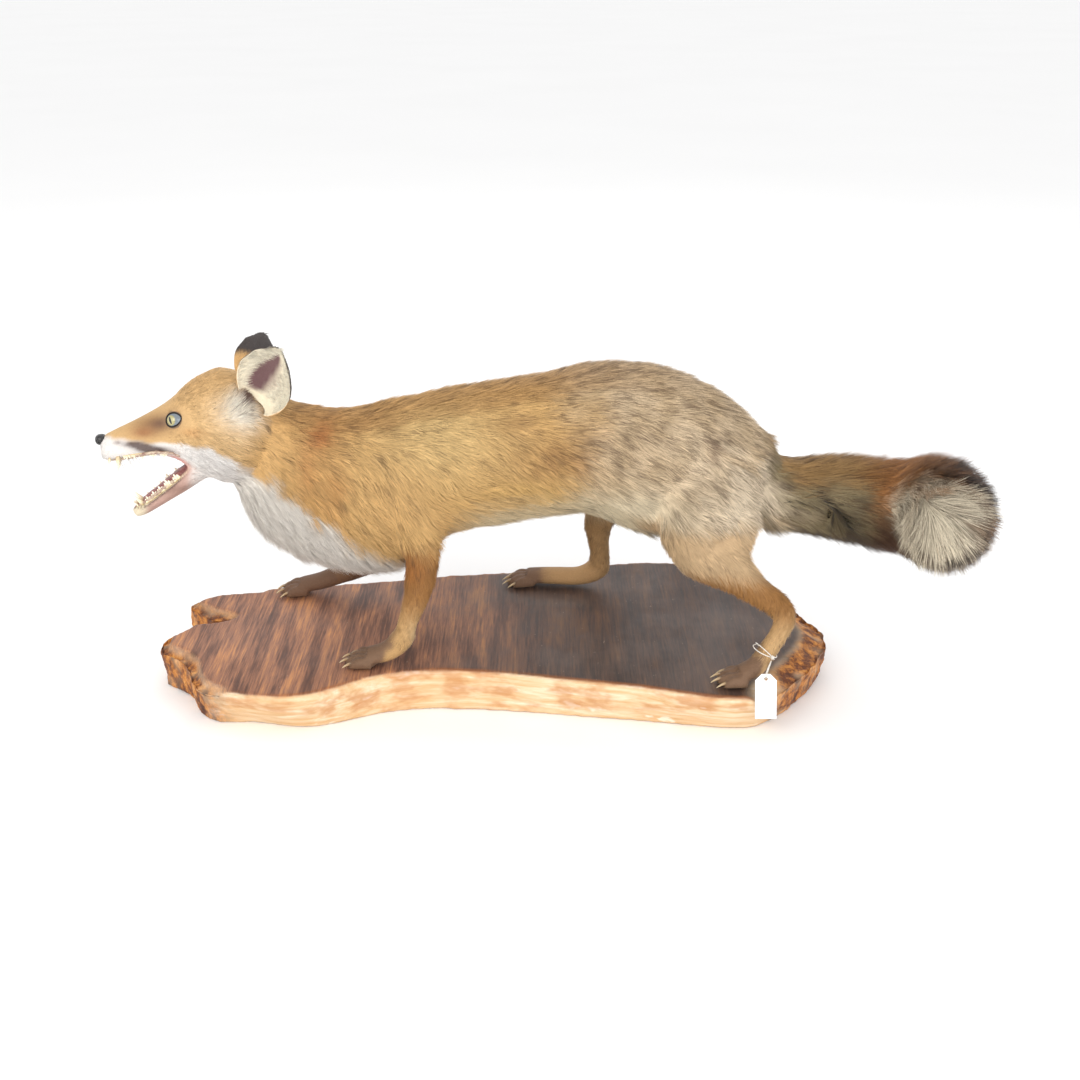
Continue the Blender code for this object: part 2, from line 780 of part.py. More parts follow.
def tube(name, points, radius, collection, finish, closed=True):
    """A thread as a bevelled poly curve made into a mesh, its caps welded."""
    curve = bpy.data.curves.new(name, "CURVE")
    curve.dimensions = "3D"
    curve.bevel_depth = radius * MM
    curve.bevel_resolution = 0
    curve.use_fill_caps = True
    spline = curve.splines.new("POLY")
    spline.points.add(len(points) - 1)
    for spot, point in zip(spline.points, points):
        spot.co = (*(point * MM), 1)
    spline.use_cyclic_u = closed
    source = bpy.data.objects.new(name + "_curve", curve)
    bpy.context.scene.collection.objects.link(source)
    mesh = evaluated_mesh(source)
    bpy.data.objects.remove(source)
    bm = bmesh.new()
    bm.from_mesh(mesh)
    bmesh.ops.remove_doubles(bm, verts=bm.verts, dist=0.001 * MM)
    return object_from(bm, name, collection, finish)


def loop_point(turn, rise_by=0.0):
    """A point on the thread's loop round the ankle, moved rise_by along the leg."""
    along = Vector(ANKLE_AXIS).normalized()
    side = along.cross(Vector((1, 0, 0))).normalized()
    ahead = side.cross(along)
    outward = ahead * ANKLE_RADII[0] * math.cos(turn) + side * ANKLE_RADII[1] * math.sin(turn)
    return Vector(ANKLE_CENTRE) + outward + along * rise_by


def make_loop(collection, helpers, finish):
    """The thread's two turns round the ankle, drawn into one knot on the near side."""
    steps = 20
    turns = [
        [loop_point(2 * math.pi * i / steps, rise) for i in range(steps)]
        for rise in (-LOOP_SPACING / 2, LOOP_SPACING / 2)
    ]
    loop = tube("tag_loop", turns[0], THREAD_RADIUS, collection, finish)
    bm = bmesh.new()
    bmesh.ops.create_uvsphere(bm, u_segments=8, v_segments=6, radius=MM)
    bmesh.ops.scale(bm, vec=Vector(KNOT_SIZE), verts=bm.verts)
    turn = Vector(ANKLE_AXIS).to_track_quat("Z", "Y").to_matrix().to_4x4()
    bm.transform(Matrix.Translation(loop_point(KNOT_TURN) * MM) @ turn)
    boolean(loop, object_from(bm, "knot", helpers), "UNION")
    boolean(loop, tube("second_turn", turns[1], THREAD_RADIUS, helpers, finish), "UNION")
    finish_mesh(loop)


def make_thread(collection, finish):
    """The doubled thread that the card hangs from."""
    start = Vector((0, TAG_HEIGHT / 2 - TAG_HOLE_DOWN, 0))
    route = [tag_pose() @ ((start + Vector((x, up, out))) * MM) / MM for x, out, up in THREAD_ROUTE]
    tube("tag_string", route, THREAD_RADIUS, collection, finish, closed=False)


# ---------------------------------------------------------------- where the flesh is parted
# Side-view outlines (x, z) and how far across each region runs. The jaw's is in the head's frame.
JAW_REGION = ((-339, 237), (-354, 232), (-410, 219), (-430, 150), (-334, 150))
HEAD_REGION = ((-244, 314), (-232, 400), (-470, 400), (-470, 120), (-352, 120))
NECK_REGION = ((-186, 347), (-266, 80), (-420, 80), (-420, 420), (-186, 420))
TAIL_REGION = ((212, 300), (236, 128), (236, 60), (460, 60), (460, 320), (212, 320))
TAIL_MIDDLE_X = 302
TAIL_TIP_X = 352
LEG_REGIONS = {
    "fore_leg_left": (((-138, 170), (-76, 170), (-76, 20), (-230, 20), (-230, 80), (-146, 104)),
                      -170, -40),
    "fore_leg_right": (((-146, 160), (-76, 160), (-76, 20), (-310, 20), (-310, 92), (-200, 104),
                        (-160, 122)), 40, 170),
    "hind_leg_left": (((84, 190), (270, 190), (270, 20), (84, 20)), -170, -36),
    "hind_leg_right": (((24, 190), (222, 190), (222, 20), (-80, 20), (-80, 100), (24, 120)),
                       36, 170),
}
PAW_REGIONS = {
    "fore_paw_left": ((-182, 110), (-90, 34), (-90, 20), (-260, 20), (-260, 110)),
    "fore_paw_right": ((-224, 121), (-186, 29), (-186, 20), (-340, 20), (-340, 121)),
    "hind_paw_left": ((173, 96), (259, 39), (259, 20), (120, 20), (120, 96)),
    "hind_paw_right": ((22, 108), (102, 44), (102, 20), (-120, 20), (-120, 108)),
}


def cut_legs(flesh, fox, helpers, coat):
    """Parts each leg from the body and each paw from its leg, and adds toes and claws."""
    for name, (outline, low, high) in LEG_REGIONS.items():
        side = -1 if name.endswith("left") else 1
        leg = part_off(flesh, prism("region_" + name, outline, low, high, helpers),
                       name, fox, coat, helpers)
        paw_name = name.replace("_leg_", "_paw_")
        region = prism("region_" + paw_name, PAW_REGIONS[paw_name], -200, 200, helpers)
        paw = part_off(leg, region, paw_name, fox, coat, helpers)
        boolean(paw, make_toes(PAWS[paw_name], side, helpers), "UNION", use_self=True)
        keep_largest(paw)
        finish_mesh(paw)
        keep_largest(leg)
        finish_mesh(leg)


def cut_tail(flesh, fox, helpers, coat):
    """Parts the brush from the rump, then in three along its length."""
    region = prism("region_tail", TAIL_REGION, -200, 200, helpers)
    root = part_off(flesh, region, "tail_root", fox, coat, helpers)
    for name, x in (("tail_tip", TAIL_TIP_X), ("tail_middle", TAIL_MIDDLE_X)):
        outline = ((x, 0), (x, 400), (x + 300, 400), (x + 300, 0))
        piece = part_off(root, prism("region_" + name, outline, -200, 200, helpers),
                         name, fox, coat, helpers)
        finish_mesh(piece)
    keep_largest(root)
    finish_mesh(root)


def cut_head(flesh, fox, helpers, coat, finishes):
    """Parts the jaw and head from the neck, with teeth, sockets and hollow mouth."""
    jaw_region = prism("region_jaw", JAW_REGION, -60, 60, helpers, head_pose())
    jaw = part_off(flesh, jaw_region, "lower_jaw", fox, coat, helpers)
    head_region = prism("region_head", HEAD_REGION, -120, 120, helpers)
    head = part_off(flesh, head_region, "head", fox, coat, helpers)
    tongue = make_tongue(fox, finishes["flesh_pink"])
    lips = grown(tongue, GAP, helpers)
    for piece, teeth in ((head, upper_teeth(helpers)), (jaw, lower_teeth(helpers))):
        boolean(piece, lips, "DIFFERENCE")
        boolean(piece, teeth, "UNION")
    for side in (-1, 1):
        eye = make_eye(side, fox, finishes["glass"])
        boolean(head, grown(eye, GAP, helpers), "DIFFERENCE")
    nose = ball("nose", in_head(NOSE["ahead"], 0, NOSE["z"]), NOSE["size"], fox, finishes["nose"])
    boolean(head, grown(nose, GAP, helpers), "DIFFERENCE")
    for piece in (head, jaw):
        keep_largest(piece)
        finish_mesh(piece)
    return head


def main():
    """Builds the fox, its slab and its tag."""
    clear_scene()
    fox = new_collection("fox")
    helpers = new_collection("cutters", hidden=True)
    coat = material("fur_coat", (0.55, 0.34, 0.16), 0.85)
    finishes = {
        "glass": material("eye_glass", (0.45, 0.42, 0.22), 0.08),
        "nose": material("nose_leather", (0.02, 0.018, 0.018), 0.35),
        "flesh_pink": material("tongue_flesh", (0.5, 0.22, 0.2), 0.4),
    }
    timber = material("slab_timber", (0.25, 0.12, 0.06), 0.4)
    card = material("tag_paper", (0.85, 0.84, 0.8), 0.7)
    cotton = material("string_cotton", (0.85, 0.83, 0.78), 0.9)

    flesh = blended_flesh(helpers)
    boolean(flesh, mouth_cutter(helpers), "DIFFERENCE")
    cut_legs(flesh, fox, helpers, coat)
    cut_tail(flesh, fox, helpers, coat)
    head = cut_head(flesh, fox, helpers, coat, finishes)
    neck = part_off(flesh, prism("region_neck", NECK_REGION, -150, 150, helpers),
                    "neck", fox, coat, helpers)
    keep_largest(flesh)
    trunk = copy_of(flesh, "trunk", fox)
    trunk.data.materials.append(coat)
    for piece in (neck, trunk):
        finish_mesh(piece)

    for side, outward, back in ((-1, 38, 20), (1, 48, 12)):
        ear = make_ear(side, outward, back, fox, coat)
        for other in (head, neck):
            boolean(ear, grown(other, GAP, helpers), "DIFFERENCE")
        keep_largest(ear)
        finish_mesh(ear)

    make_slab(fox, timber)
    make_tag(fox, helpers, card)
    make_loop(fox, helpers, cotton)
    make_thread(fox, cotton)


main()
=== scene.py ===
"""A life-size taxidermy fox, mouth open, crouched on a waney-edged slab, with a string tag at its hind ankle.

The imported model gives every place. This script dresses it: one skin under a coat of solid tufts, glass eyes in
their lids, nose, teeth, tongue and claws, the slab's timber, and the paper tag on its thread.
"""

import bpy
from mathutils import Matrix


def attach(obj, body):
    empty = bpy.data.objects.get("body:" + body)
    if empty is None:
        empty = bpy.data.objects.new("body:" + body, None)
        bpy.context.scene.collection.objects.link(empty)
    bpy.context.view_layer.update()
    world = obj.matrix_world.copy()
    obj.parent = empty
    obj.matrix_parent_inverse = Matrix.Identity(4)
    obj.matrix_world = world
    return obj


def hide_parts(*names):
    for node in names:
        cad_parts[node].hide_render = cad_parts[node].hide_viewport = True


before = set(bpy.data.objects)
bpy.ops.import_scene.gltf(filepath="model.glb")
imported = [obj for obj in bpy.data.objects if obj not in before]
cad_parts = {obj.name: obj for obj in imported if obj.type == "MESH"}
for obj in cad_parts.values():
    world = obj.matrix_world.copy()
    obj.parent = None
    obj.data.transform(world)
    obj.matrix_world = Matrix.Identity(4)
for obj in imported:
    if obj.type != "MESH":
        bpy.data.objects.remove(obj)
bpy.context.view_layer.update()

import logging
import math
from dataclasses import dataclass, field
from enum import Enum
from typing import Callable, Optional, Sequence, Union

import bmesh
import bpy
import numpy as np
from mathutils import Matrix, Vector
from mathutils.bvhtree import BVHTree
from mathutils.kdtree import KDTree

logging.basicConfig(level=logging.INFO, format="%(name)s: %(message)s")
log = logging.getLogger("fox")

MM = 0.001
SLAB_TOP = 0.045
UP = np.array((0.0, 0.0, 1.0))
FULL_TURN = 2 * math.pi
LOOSE_MERGE = 1e-6  # metres within which loose CAD vertices are one
SKIN_OVERLAP = 0.0003  # how far the body's parts are grown, so that they fuse
ROOT_CLEARANCE = 0.0012  # tufts rooted nearer than this to the slab's top are left out
FLOOR_HALF = 40.0
FLOOR_DROP = 0.0005
Rows = Sequence[Sequence[float]]


# ------------------------------------------------------------------------------------------ colours and numbers
def tint(code: str) -> np.ndarray:
    """Turns a six-figure colour code into linear red, green and blue."""
    raw = np.array([int(code[i : i + 2], 16) / 255 for i in (0, 2, 4)])
    return np.where(raw <= 0.04045, raw / 12.92, ((raw + 0.055) / 1.055) ** 2.4)


def rgba(code: str) -> tuple[float, float, float, float]:
    """Turns a six-figure colour code into a linear colour with full alpha."""
    return (*tint(code), 1.0)


def step(values: np.ndarray, low: float, high: float) -> np.ndarray:
    """Rises smoothly from 0 at low to 1 at high; low may be the larger of the two.

    Args:
        values: the numbers to grade.
        low: where the result is 0.
        high: where the result is 1.

    Returns:
        One share for each number.
    """
    share = np.clip((values - low) / (high - low), 0, 1)
    return share * share * (3 - 2 * share)


def near(points: np.ndarray, centre: Sequence[float], radii: Sequence[float]) -> np.ndarray:
    """Grades points by closeness to a soft ellipsoid's centre.

    Args:
        points: one row for each point.
        centre: the ellipsoid's middle.
        radii: the distance along each axis at which the share is down to about a third.

    Returns:
        1 at the centre, falling smoothly to 0.
    """
    away = (points - np.array(centre)) / np.array(radii)
    return np.exp(-(away**2).sum(1))


def unit(vectors: np.ndarray) -> np.ndarray:
    """Scales every row to length 1."""
    return vectors / np.maximum(np.linalg.norm(vectors, axis=-1, keepdims=True), 1e-12)


def blend(base: np.ndarray, other: np.ndarray, share: np.ndarray) -> np.ndarray:
    """Mixes colours row by row; share is how much of the other shows."""
    return base + (other - base) * share[:, None]


def spread(rows: Rows, between: int) -> np.ndarray:
    """Adds Catmull-Rom rows between the given ones, so that a loft runs smoothly.

    Args:
        rows: the stations.
        between: how many steps each gap is cut into.

    Returns:
        The stations and the rows between them.
    """
    table = np.array(rows, float)
    made = []
    last = len(table) - 1
    for i in range(last):
        before, start, end, after = table[max(i - 1, 0)], table[i], table[i + 1], table[min(i + 2, last)]
        for t in np.arange(between) / between:
            made.append(
                0.5
                * (
                    2 * start
                    + (end - before) * t
                    + (2 * before - 5 * start + 4 * end - after) * t * t
                    + (3 * start - before - 3 * end + after) * t**3
                )
            )
    return np.array(made + [table[last]])


class Ripple:
    """A smooth, seeded field of bumps and hollows, as a sum of plane waves."""

    def __init__(self, seed: int, size: float, waves: int = 14) -> None:
        """Draws the waves.

        Args:
            seed: the random seed.
            size: how far apart the bumps lie, in metres.
            waves: how many waves are added up.
        """
        rng = np.random.default_rng(seed)
        self.ways = unit(rng.normal(size=(waves, 3))) * (FULL_TURN / size) * rng.uniform(0.6, 1.5, (waves, 1))
        self.starts = rng.uniform(0, FULL_TURN, waves)

    def __call__(self, points: np.ndarray) -> np.ndarray:
        """Reads the field at points; values lie about -1 to 1."""
        return np.sin(points @ self.ways.T + self.starts).sum(1) / math.sqrt(len(self.starts) * 0.9)


# ------------------------------------------------------------------------------------------ shader building
Value = Union["Socket", float, int, Sequence[float], str]


def _operator(operation: str, turned: bool = False) -> Callable[["Socket", Value], "Socket"]:
    """Makes a method that adds one Math node, its two values turned about if asked.

    Args:
        operation: the Math node's operation.
        turned: whether the right-hand value comes first.

    Returns:
        The method.
    """

    def method(self: "Socket", other: Value) -> "Socket":
        """Adds the node."""
        first, second = (other, self) if turned else (self, other)
        return self.shader.node("ShaderNodeMath", {"operation": operation}, {0: first, 1: second})

    return method


class Socket:
    """A node's output that takes part in Python arithmetic."""

    __add__, __radd__ = _operator("ADD"), _operator("ADD", True)
    __sub__, __rsub__ = _operator("SUBTRACT"), _operator("SUBTRACT", True)
    __mul__, __rmul__ = _operator("MULTIPLY"), _operator("MULTIPLY", True)
    __truediv__, __rtruediv__ = _operator("DIVIDE"), _operator("DIVIDE", True)
    __pow__ = _operator("POWER")

    def __init__(self, shader: "Shader", output: bpy.types.NodeSocket) -> None:
        """Wraps an output of one of the shader's nodes."""
        self.shader, self.output = shader, output

    def grade(self, low: float, high: float) -> "Socket":
        """Rises smoothly from 0 at low to 1 at high."""
        ends = {"Value": self, "From Min": low, "From Max": high}
        return self.shader.node("ShaderNodeMapRange", {"interpolation_type": "SMOOTHSTEP"}, ends)


class Shader:
    """One material and its node tree, round a single Principled shader."""

    def __init__(self, name: str) -> None:
        """Starts the material with nothing but its shader and output.

        Args:
            name: the material's name.
        """
        self.material = bpy.data.materials.new(name)
        self.material.use_nodes = True
        self.tree = self.material.node_tree
        self.tree.nodes.clear()
        self.surface = self.tree.nodes.new("ShaderNodeBsdfPrincipled")
        output = self.tree.nodes.new("ShaderNodeOutputMaterial")
        self.tree.links.new(self.surface.outputs[0], output.inputs["Surface"])

    def node(
        self,
        kind: str,
        settings: Optional[dict] = None,
        inputs: Optional[dict] = None,
        output: Union[int, str] = 0,
    ) -> Socket:
        """Adds any node.

        Args:
            kind: the node's type.
            settings: its properties, and stops for a colour ramp, set before its sockets.
            inputs: socket values or links by name or number.
            output: the socket that is returned.

        Returns:
            The chosen output.
        """
        made = self.tree.nodes.new(kind)
        for key, value in (settings or {}).items():
            if key == "stops":
                ramp = made.color_ramp.elements
                while len(ramp) < len(value):
                    ramp.new(0.5)
                for stop, (place, colour) in zip(ramp, value):
                    stop.position, stop.color = place, rgba(colour)
            else:
                setattr(made, key, value)
        for key, value in (inputs or {}).items():
            self.feed(made.inputs[key], value)
        return Socket(self, made.outputs[output])

    def feed(self, socket: bpy.types.NodeSocket, value: Value) -> None:
        """Gives a socket a link, a constant or a colour code.

        Args:
            socket: the socket to be fed.
            value: the link, number, vector or colour code.
        """
        if isinstance(value, Socket):
            self.tree.links.new(value.output, socket)
        else:
            socket.default_value = rgba(value) if isinstance(value, str) else value

    def place(self, scale: Sequence[float] = (1, 1, 1), turn: Sequence[float] = (0, 0, 0)) -> Socket:
        """Gives Object coordinates, stretched and turned."""
        spot = self.node("ShaderNodeTexCoord", output="Object")
        return self.node("ShaderNodeMapping", inputs={"Vector": spot, "Scale": scale, "Rotation": turn})

    def noise(self, where: Value, scale: float, detail: float = 3.0, rough: float = 0.55, warp: float = 0.0) -> Socket:
        """Gives a noise value from 0 to 1.

        Args:
            where: the vector that is read.
            scale: the noise's scale.
            detail: its octaves.
            rough: how much the small octaves count.
            warp: its distortion.

        Returns:
            The noise's factor.
        """
        return self.node(
            "ShaderNodeTexNoise",
            inputs={"Vector": where, "Scale": scale, "Detail": detail, "Roughness": rough, "Distortion": warp},
            output="Fac",
        )

    def axis(self, where: Value, index: int) -> Socket:
        """Gives one of the three numbers of a vector."""
        return self.node("ShaderNodeSeparateXYZ", inputs={0: where}, output=index)

    def attribute(self, name: str, output: str = "Color") -> Socket:
        """Reads a named attribute of the piece."""
        return self.node("ShaderNodeAttribute", {"attribute_name": name}, output=output)

    def mix(self, share: Value, first: Value, second: Value, how: str = "MIX") -> Socket:
        """Mixes two colours.

        Args:
            share: how much of the second colour shows.
            first: the colour at 0.
            second: the colour at 1.
            how: the blending mode.

        Returns:
            The mixed colour.
        """
        return self.node(
            "ShaderNodeMix",
            {"data_type": "RGBA", "blend_type": how, "clamp_result": False},
            {0: share, 6: first, 7: second},
            output=2,
        )

    def ramp(self, share: Value, *stops: tuple[float, str]) -> Socket:
        """Gives a colour from a ramp of places and colour codes."""
        return self.node("ShaderNodeValToRGB", {"stops": stops}, {0: share})

    def bump(self, height: Value, distance: float, strength: float = 1.0) -> Socket:
        """Turns a height into a normal; distance is in metres."""
        return self.node("ShaderNodeBump", inputs={"Height": height, "Distance": distance, "Strength": strength})

    def finish(self, **sockets: Value) -> bpy.types.Material:
        """Feeds the shader's own sockets, named with _ for spaces, and gives the material.

        Args:
            sockets: a value or link for each socket.

        Returns:
            The material.
        """
        for key, value in sockets.items():
            self.feed(self.surface.inputs[key.replace("_", " ")], value)
        return self.material


@dataclass(frozen=True)
class Pelt:
    """Hair or skin whose markings, with their painted light and shade, are in the piece's Pelt attribute."""

    name: str
    roughness: float = 0.62
    sheen: float = 0.12
    mottle: float = 0.16
    grain: float = 900.0
    bump: float = 0.0003

    def material(self) -> bpy.types.Material:
        """Builds the material.

        Returns:
            The material.
        """
        s = Shader(self.name)
        where = s.place()
        fine = s.noise(where, self.grain, 2.0)
        broad = s.noise(where, 60.0, 3.0)
        shade = 1.0 - self.mottle + (fine * 0.6 + broad * 0.4) * (2 * self.mottle)
        marks = s.attribute("Pelt")
        grey = s.node("ShaderNodeCombineColor", inputs={0: shade, 1: shade, 2: shade})
        colour = s.mix(1.0, marks, grey, "MULTIPLY")
        return s.finish(
            Base_Color=colour,
            Roughness=fine * 0.15 + (self.roughness - 0.07),
            Specular_IOR_Level=0.28,
            Sheen_Weight=self.sheen,
            Sheen_Roughness=0.4,
            Normal=s.bump(fine, self.bump),
        )


@dataclass(frozen=True)
class Moist:
    """Skin, tongue or nose leather with a fine pebbled grain and a gloss that comes and goes."""

    name: str
    dark: str
    light: str
    pebble: float = 1400.0
    roughness: float = 0.35
    gloss: float = 0.4
    depth: float = 0.00025

    def material(self) -> bpy.types.Material:
        """Builds the material.

        Returns:
            The material.
        """
        s = Shader(self.name)
        where = s.place()
        cells = s.node("ShaderNodeTexVoronoi", {"feature": "F1"}, {"Vector": where, "Scale": self.pebble}, "Distance")
        broad = s.noise(where, 220.0, 4.0)
        colour = s.mix(broad.grade(0.3, 0.7), self.dark, self.light)
        # Painted shade: the grooves between the pebbles are darkened.
        colour = s.mix(cells.grade(0.1, 0.7) * 0.5, colour, self.dark)
        return s.finish(
            Base_Color=colour,
            Roughness=self.roughness + broad * 0.25,
            Coat_Weight=self.gloss * broad.grade(0.2, 0.8),
            Coat_Roughness=0.15,
            Normal=s.bump(1.0 - cells, self.depth),
        )


@dataclass(frozen=True)
class Horn:
    """Tooth or claw: a ramp from root to tip by the Along attribute, with lengthwise streaks."""

    name: str
    root: str
    middle: str
    tip: str
    roughness: float = 0.3
    gloss: float = 0.5
    translucent: float = 0.0

    def material(self) -> bpy.types.Material:
        """Builds the material.

        Returns:
            The material.
        """
        s = Shader(self.name)
        where = s.place()
        along = s.attribute("Along", "Fac")
        streak = s.noise(where, 900.0, 4.0, 0.6)
        stain = s.noise(where, 260.0, 3.0)
        share = along + (streak - 0.5) * 0.35
        colour = s.ramp(share, (0.0, self.root), (0.35, self.middle), (1.0, self.tip))
        colour = s.mix(stain.grade(0.5, 0.75) * 0.45, colour, self.root)
        return s.finish(
            Base_Color=colour,
            Roughness=self.roughness + streak * 0.2,
            Coat_Weight=self.gloss * stain.grade(0.75, 0.3),
            Subsurface_Weight=self.translucent,
            Subsurface_Scale=0.002,
            Normal=s.bump(streak, 0.0002),
        )


@dataclass(frozen=True)
class Glass:
    """A glass eye: slit pupil, streaked iris, dark edge, under a clear coat; reads the EyeMap attribute."""

    name: str = "eye_glass"
    iris: str = "B9B387"
    iris_edge: str = "6E6F55"
    pupil: str = "07080A"
    white: str = "6B747C"

    def material(self) -> bpy.types.Material:
        """Builds the material: EyeMap holds across, up and forward on the unit eyeball.

        Returns:
            The material.
        """
        s = Shader(self.name)
        spot = s.attribute("EyeMap", "Vector")
        across, up = s.axis(spot, 0), s.axis(spot, 1)
        out = (across * across + up * up) ** 0.5
        ray = s.noise(s.node("ShaderNodeMapping", inputs={"Vector": spot, "Scale": (9.0, 9.0, 1.0)}), 2.4, 5.0, 0.7)
        iris = s.ramp(out + (ray - 0.5) * 0.2, (0.12, self.iris), (0.4, "A39A62"), (0.6, self.iris_edge))
        slit = ((across * 3.0) ** 2.0 + (up * 1.05) ** 2.0) ** 0.5
        colour = s.mix(out.grade(0.50, 0.56), iris, self.white)
        colour = s.mix(slit.grade(0.44, 0.37), colour, self.pupil)
        return s.finish(
            Base_Color=colour, Roughness=0.25 + ray * 0.1, Coat_Weight=1.0, Coat_Roughness=0.02, Coat_IOR=1.55
        )


@dataclass(frozen=True)
class Timber:
    """The slab: dark stained sawn face with bright saw streaks, honey sapwood and burnt bark edges."""

    name: str = "slab_timber"

    def material(self) -> bpy.types.Material:
        """Builds the material: Face is 1 on the sawn top, Bark 1 on weathered edges, Rim the rim's closeness.

        Returns:
            The material.
        """
        s = Shader(self.name)
        face, bark, rim = (s.attribute(key, "Fac") for key in ("Face", "Bark", "Rim"))
        across = s.axis(s.place(), 0)
        # Sawn face: streaks run front to back, fine and broken up.
        fine = s.noise(s.place((1, 0.05, 1)), 520.0, 5.0, 0.65)
        broad = s.noise(s.place((1, 0.10, 1)), 60.0, 4.0, 0.6, 0.4)
        cloud = s.noise(s.place((1, 1, 1)), 9.0, 4.0, 0.6)
        grain = s.noise(s.place((0.08, 1, 1)), 260.0, 4.0, 0.6, 0.5)
        streaks = fine * 0.45 + broad * 0.55
        warm = s.ramp(streaks, (0.30, "3A241C"), (0.43, "694535"), (0.53, "9A6A50"), (0.65, "CE8F5A"))
        cool = s.ramp(fine * 0.35 + cloud * 0.65, (0.30, "191513"), (0.5, "2A221E"), (0.72, "4D4038"))
        rightwards = (across + (cloud - 0.5) * 0.35).grade(-0.24, 0.06)
        top = s.mix(rightwards * 0.85, warm, cool)
        flake = s.noise(s.place((1, 0.35, 1)), 300.0, 2.0)
        top = s.mix(flake.grade(0.70, 0.78) * 0.35, top, "A58D78")
        top = s.mix((rim.grade(0.55, 0.95) * cloud.grade(0.35, 0.6)) * 0.6, top, "9A5A2A")
        # Sapwood side: pale honey, with long lengthwise figure, chips and burnt patches.
        figure = s.noise(s.place((0.12, 0.5, 1.4)), 70.0, 5.0, 0.6, 1.2)
        figured = figure * 0.7 + grain * 0.3
        side = s.ramp(figured, (0.24, "B88850"), (0.38, "D2AA7A"), (0.52, "E0C19A"), (0.70, "EEDFC6"))
        chip = s.noise(s.place((0.5, 1, 1)), 55.0, 3.0)
        side = s.mix(chip.grade(0.64, 0.72) * 0.7, side, "F6EFDF")
        side = s.mix((rim.grade(0.45, 0.9) * chip.grade(0.42, 0.62)) * 0.55, side, "B5702F")
        # Weathered bark edges at both ends: burnt brown over orange.
        crust = s.noise(s.place((1, 1, 0.7)), 90.0, 6.0, 0.7)
        edge = s.ramp(crust, (0.30, "2F1A12"), (0.45, "6B3A1C"), (0.56, "B8742F"), (0.70, "DDA052"))
        side = s.mix(bark, side, edge)
        colour = s.mix(face, side, top)
        height = face * (fine * 0.6 + broad * 0.6) + (1.0 - face) * (grain * 0.5 + crust * bark * 1.6)
        return s.finish(
            Base_Color=colour,
            Roughness=0.55 + fine * 0.25 - face * 0.05,
            Coat_Weight=face * cloud.grade(0.35, 0.7) * 0.2,
            Coat_Roughness=0.3,
            Normal=s.bump(height, 0.0007),
        )


@dataclass(frozen=True)
class Paper:
    """White card with a faint fibre and faint blue-grey clouding."""

    name: str = "tag_paper"

    def material(self) -> bpy.types.Material:
        """Builds the material.

        Returns:
            The material.
        """
        s = Shader(self.name)
        where = s.place()
        fibre = s.noise(where, 2200.0, 4.0, 0.7)
        cloud = s.noise(where, 90.0, 3.0)
        colour = s.mix(cloud.grade(0.3, 0.8), "F4F6FB", "E6E9F2")
        colour = s.mix(fibre.grade(0.62, 0.8) * 0.3, colour, "CFCFCB")
        return s.finish(Base_Color=colour, Roughness=0.62 + fibre * 0.2, Normal=s.bump(fibre, 0.00008))


@dataclass(frozen=True)
class Cotton:
    """Off-white twisted thread."""

    name: str = "string_cotton"

    def material(self) -> bpy.types.Material:
        """Builds the material.

        Returns:
            The material.
        """
        s = Shader(self.name)
        where = s.place()
        fibre = s.noise(where, 5200.0, 3.0, 0.7)
        soil = s.noise(where, 320.0, 2.0)
        colour = s.mix(soil.grade(0.35, 0.8), "F2EFE8", "CFC6B8")
        return s.finish(Base_Color=colour, Roughness=0.7 + fibre * 0.2, Sheen_Weight=0.2, Normal=s.bump(fibre, 0.00006))


@dataclass(frozen=True)
class Backdrop:
    """The pale floor that the model stands on for its picture."""

    name: str = "floor_paper"

    def material(self) -> bpy.types.Material:
        """Builds the material.

        Returns:
            The material.
        """
        s = Shader(self.name)
        cloud = s.noise(s.place(), 1.2, 2.0)
        colour = s.mix(cloud, "FAFAFA", "F6F6F6")
        return s.finish(Base_Color=colour, Roughness=0.9, Specular_IOR_Level=0.1)


# ------------------------------------------------------------------------------------------ mesh building
def link(obj: bpy.types.Object) -> bpy.types.Object:
    """Puts an object into the scene."""
    bpy.context.scene.collection.objects.link(obj)
    return obj


def mesh_object(name: str, points: np.ndarray, faces: Sequence[Sequence[int]], smooth: bool = True) -> bpy.types.Object:
    """Makes an object from points and faces, with its faces turned outwards.

    Args:
        name: the piece's name.
        points: one row for each vertex, in metres.
        faces: vertex numbers of each face.
        smooth: whether it is shaded smooth.

    Returns:
        The new object.
    """
    mesh = bpy.data.meshes.new(name)
    mesh.from_pydata(np.asarray(points).tolist(), [], [list(map(int, face)) for face in faces])
    bm = bmesh.new()
    bm.from_mesh(mesh)
    bmesh.ops.recalc_face_normals(bm, faces=bm.faces)
    for each in bm.faces:
        each.smooth = smooth
    bm.to_mesh(mesh)
    bm.free()
    return link(bpy.data.objects.new(name, mesh))


def fixed(obj: bpy.types.Object) -> bpy.types.Object:
    """Applies an object's modifiers to its mesh and removes them.

    Args:
        obj: the object with live modifiers.

    Returns:
        The object with one plain mesh.
    """
    graph = bpy.context.evaluated_depsgraph_get()
    mesh = bpy.data.meshes.new_from_object(obj.evaluated_get(graph))
    obj.modifiers.clear()
    if obj.type == "MESH":
        old = obj.data
        obj.data = mesh
        bpy.data.meshes.remove(old)
        return obj
    name = obj.name
    bpy.data.objects.remove(obj)
    return link(bpy.data.objects.new(name, mesh))


def discard(obj: bpy.types.Object) -> None:
    """Removes a helper object and its mesh.

    Args:
        obj: the object that is no longer needed.
    """
    data = obj.data
    bpy.data.objects.remove(obj)
    if isinstance(data, bpy.types.Mesh):
        bpy.data.meshes.remove(data)


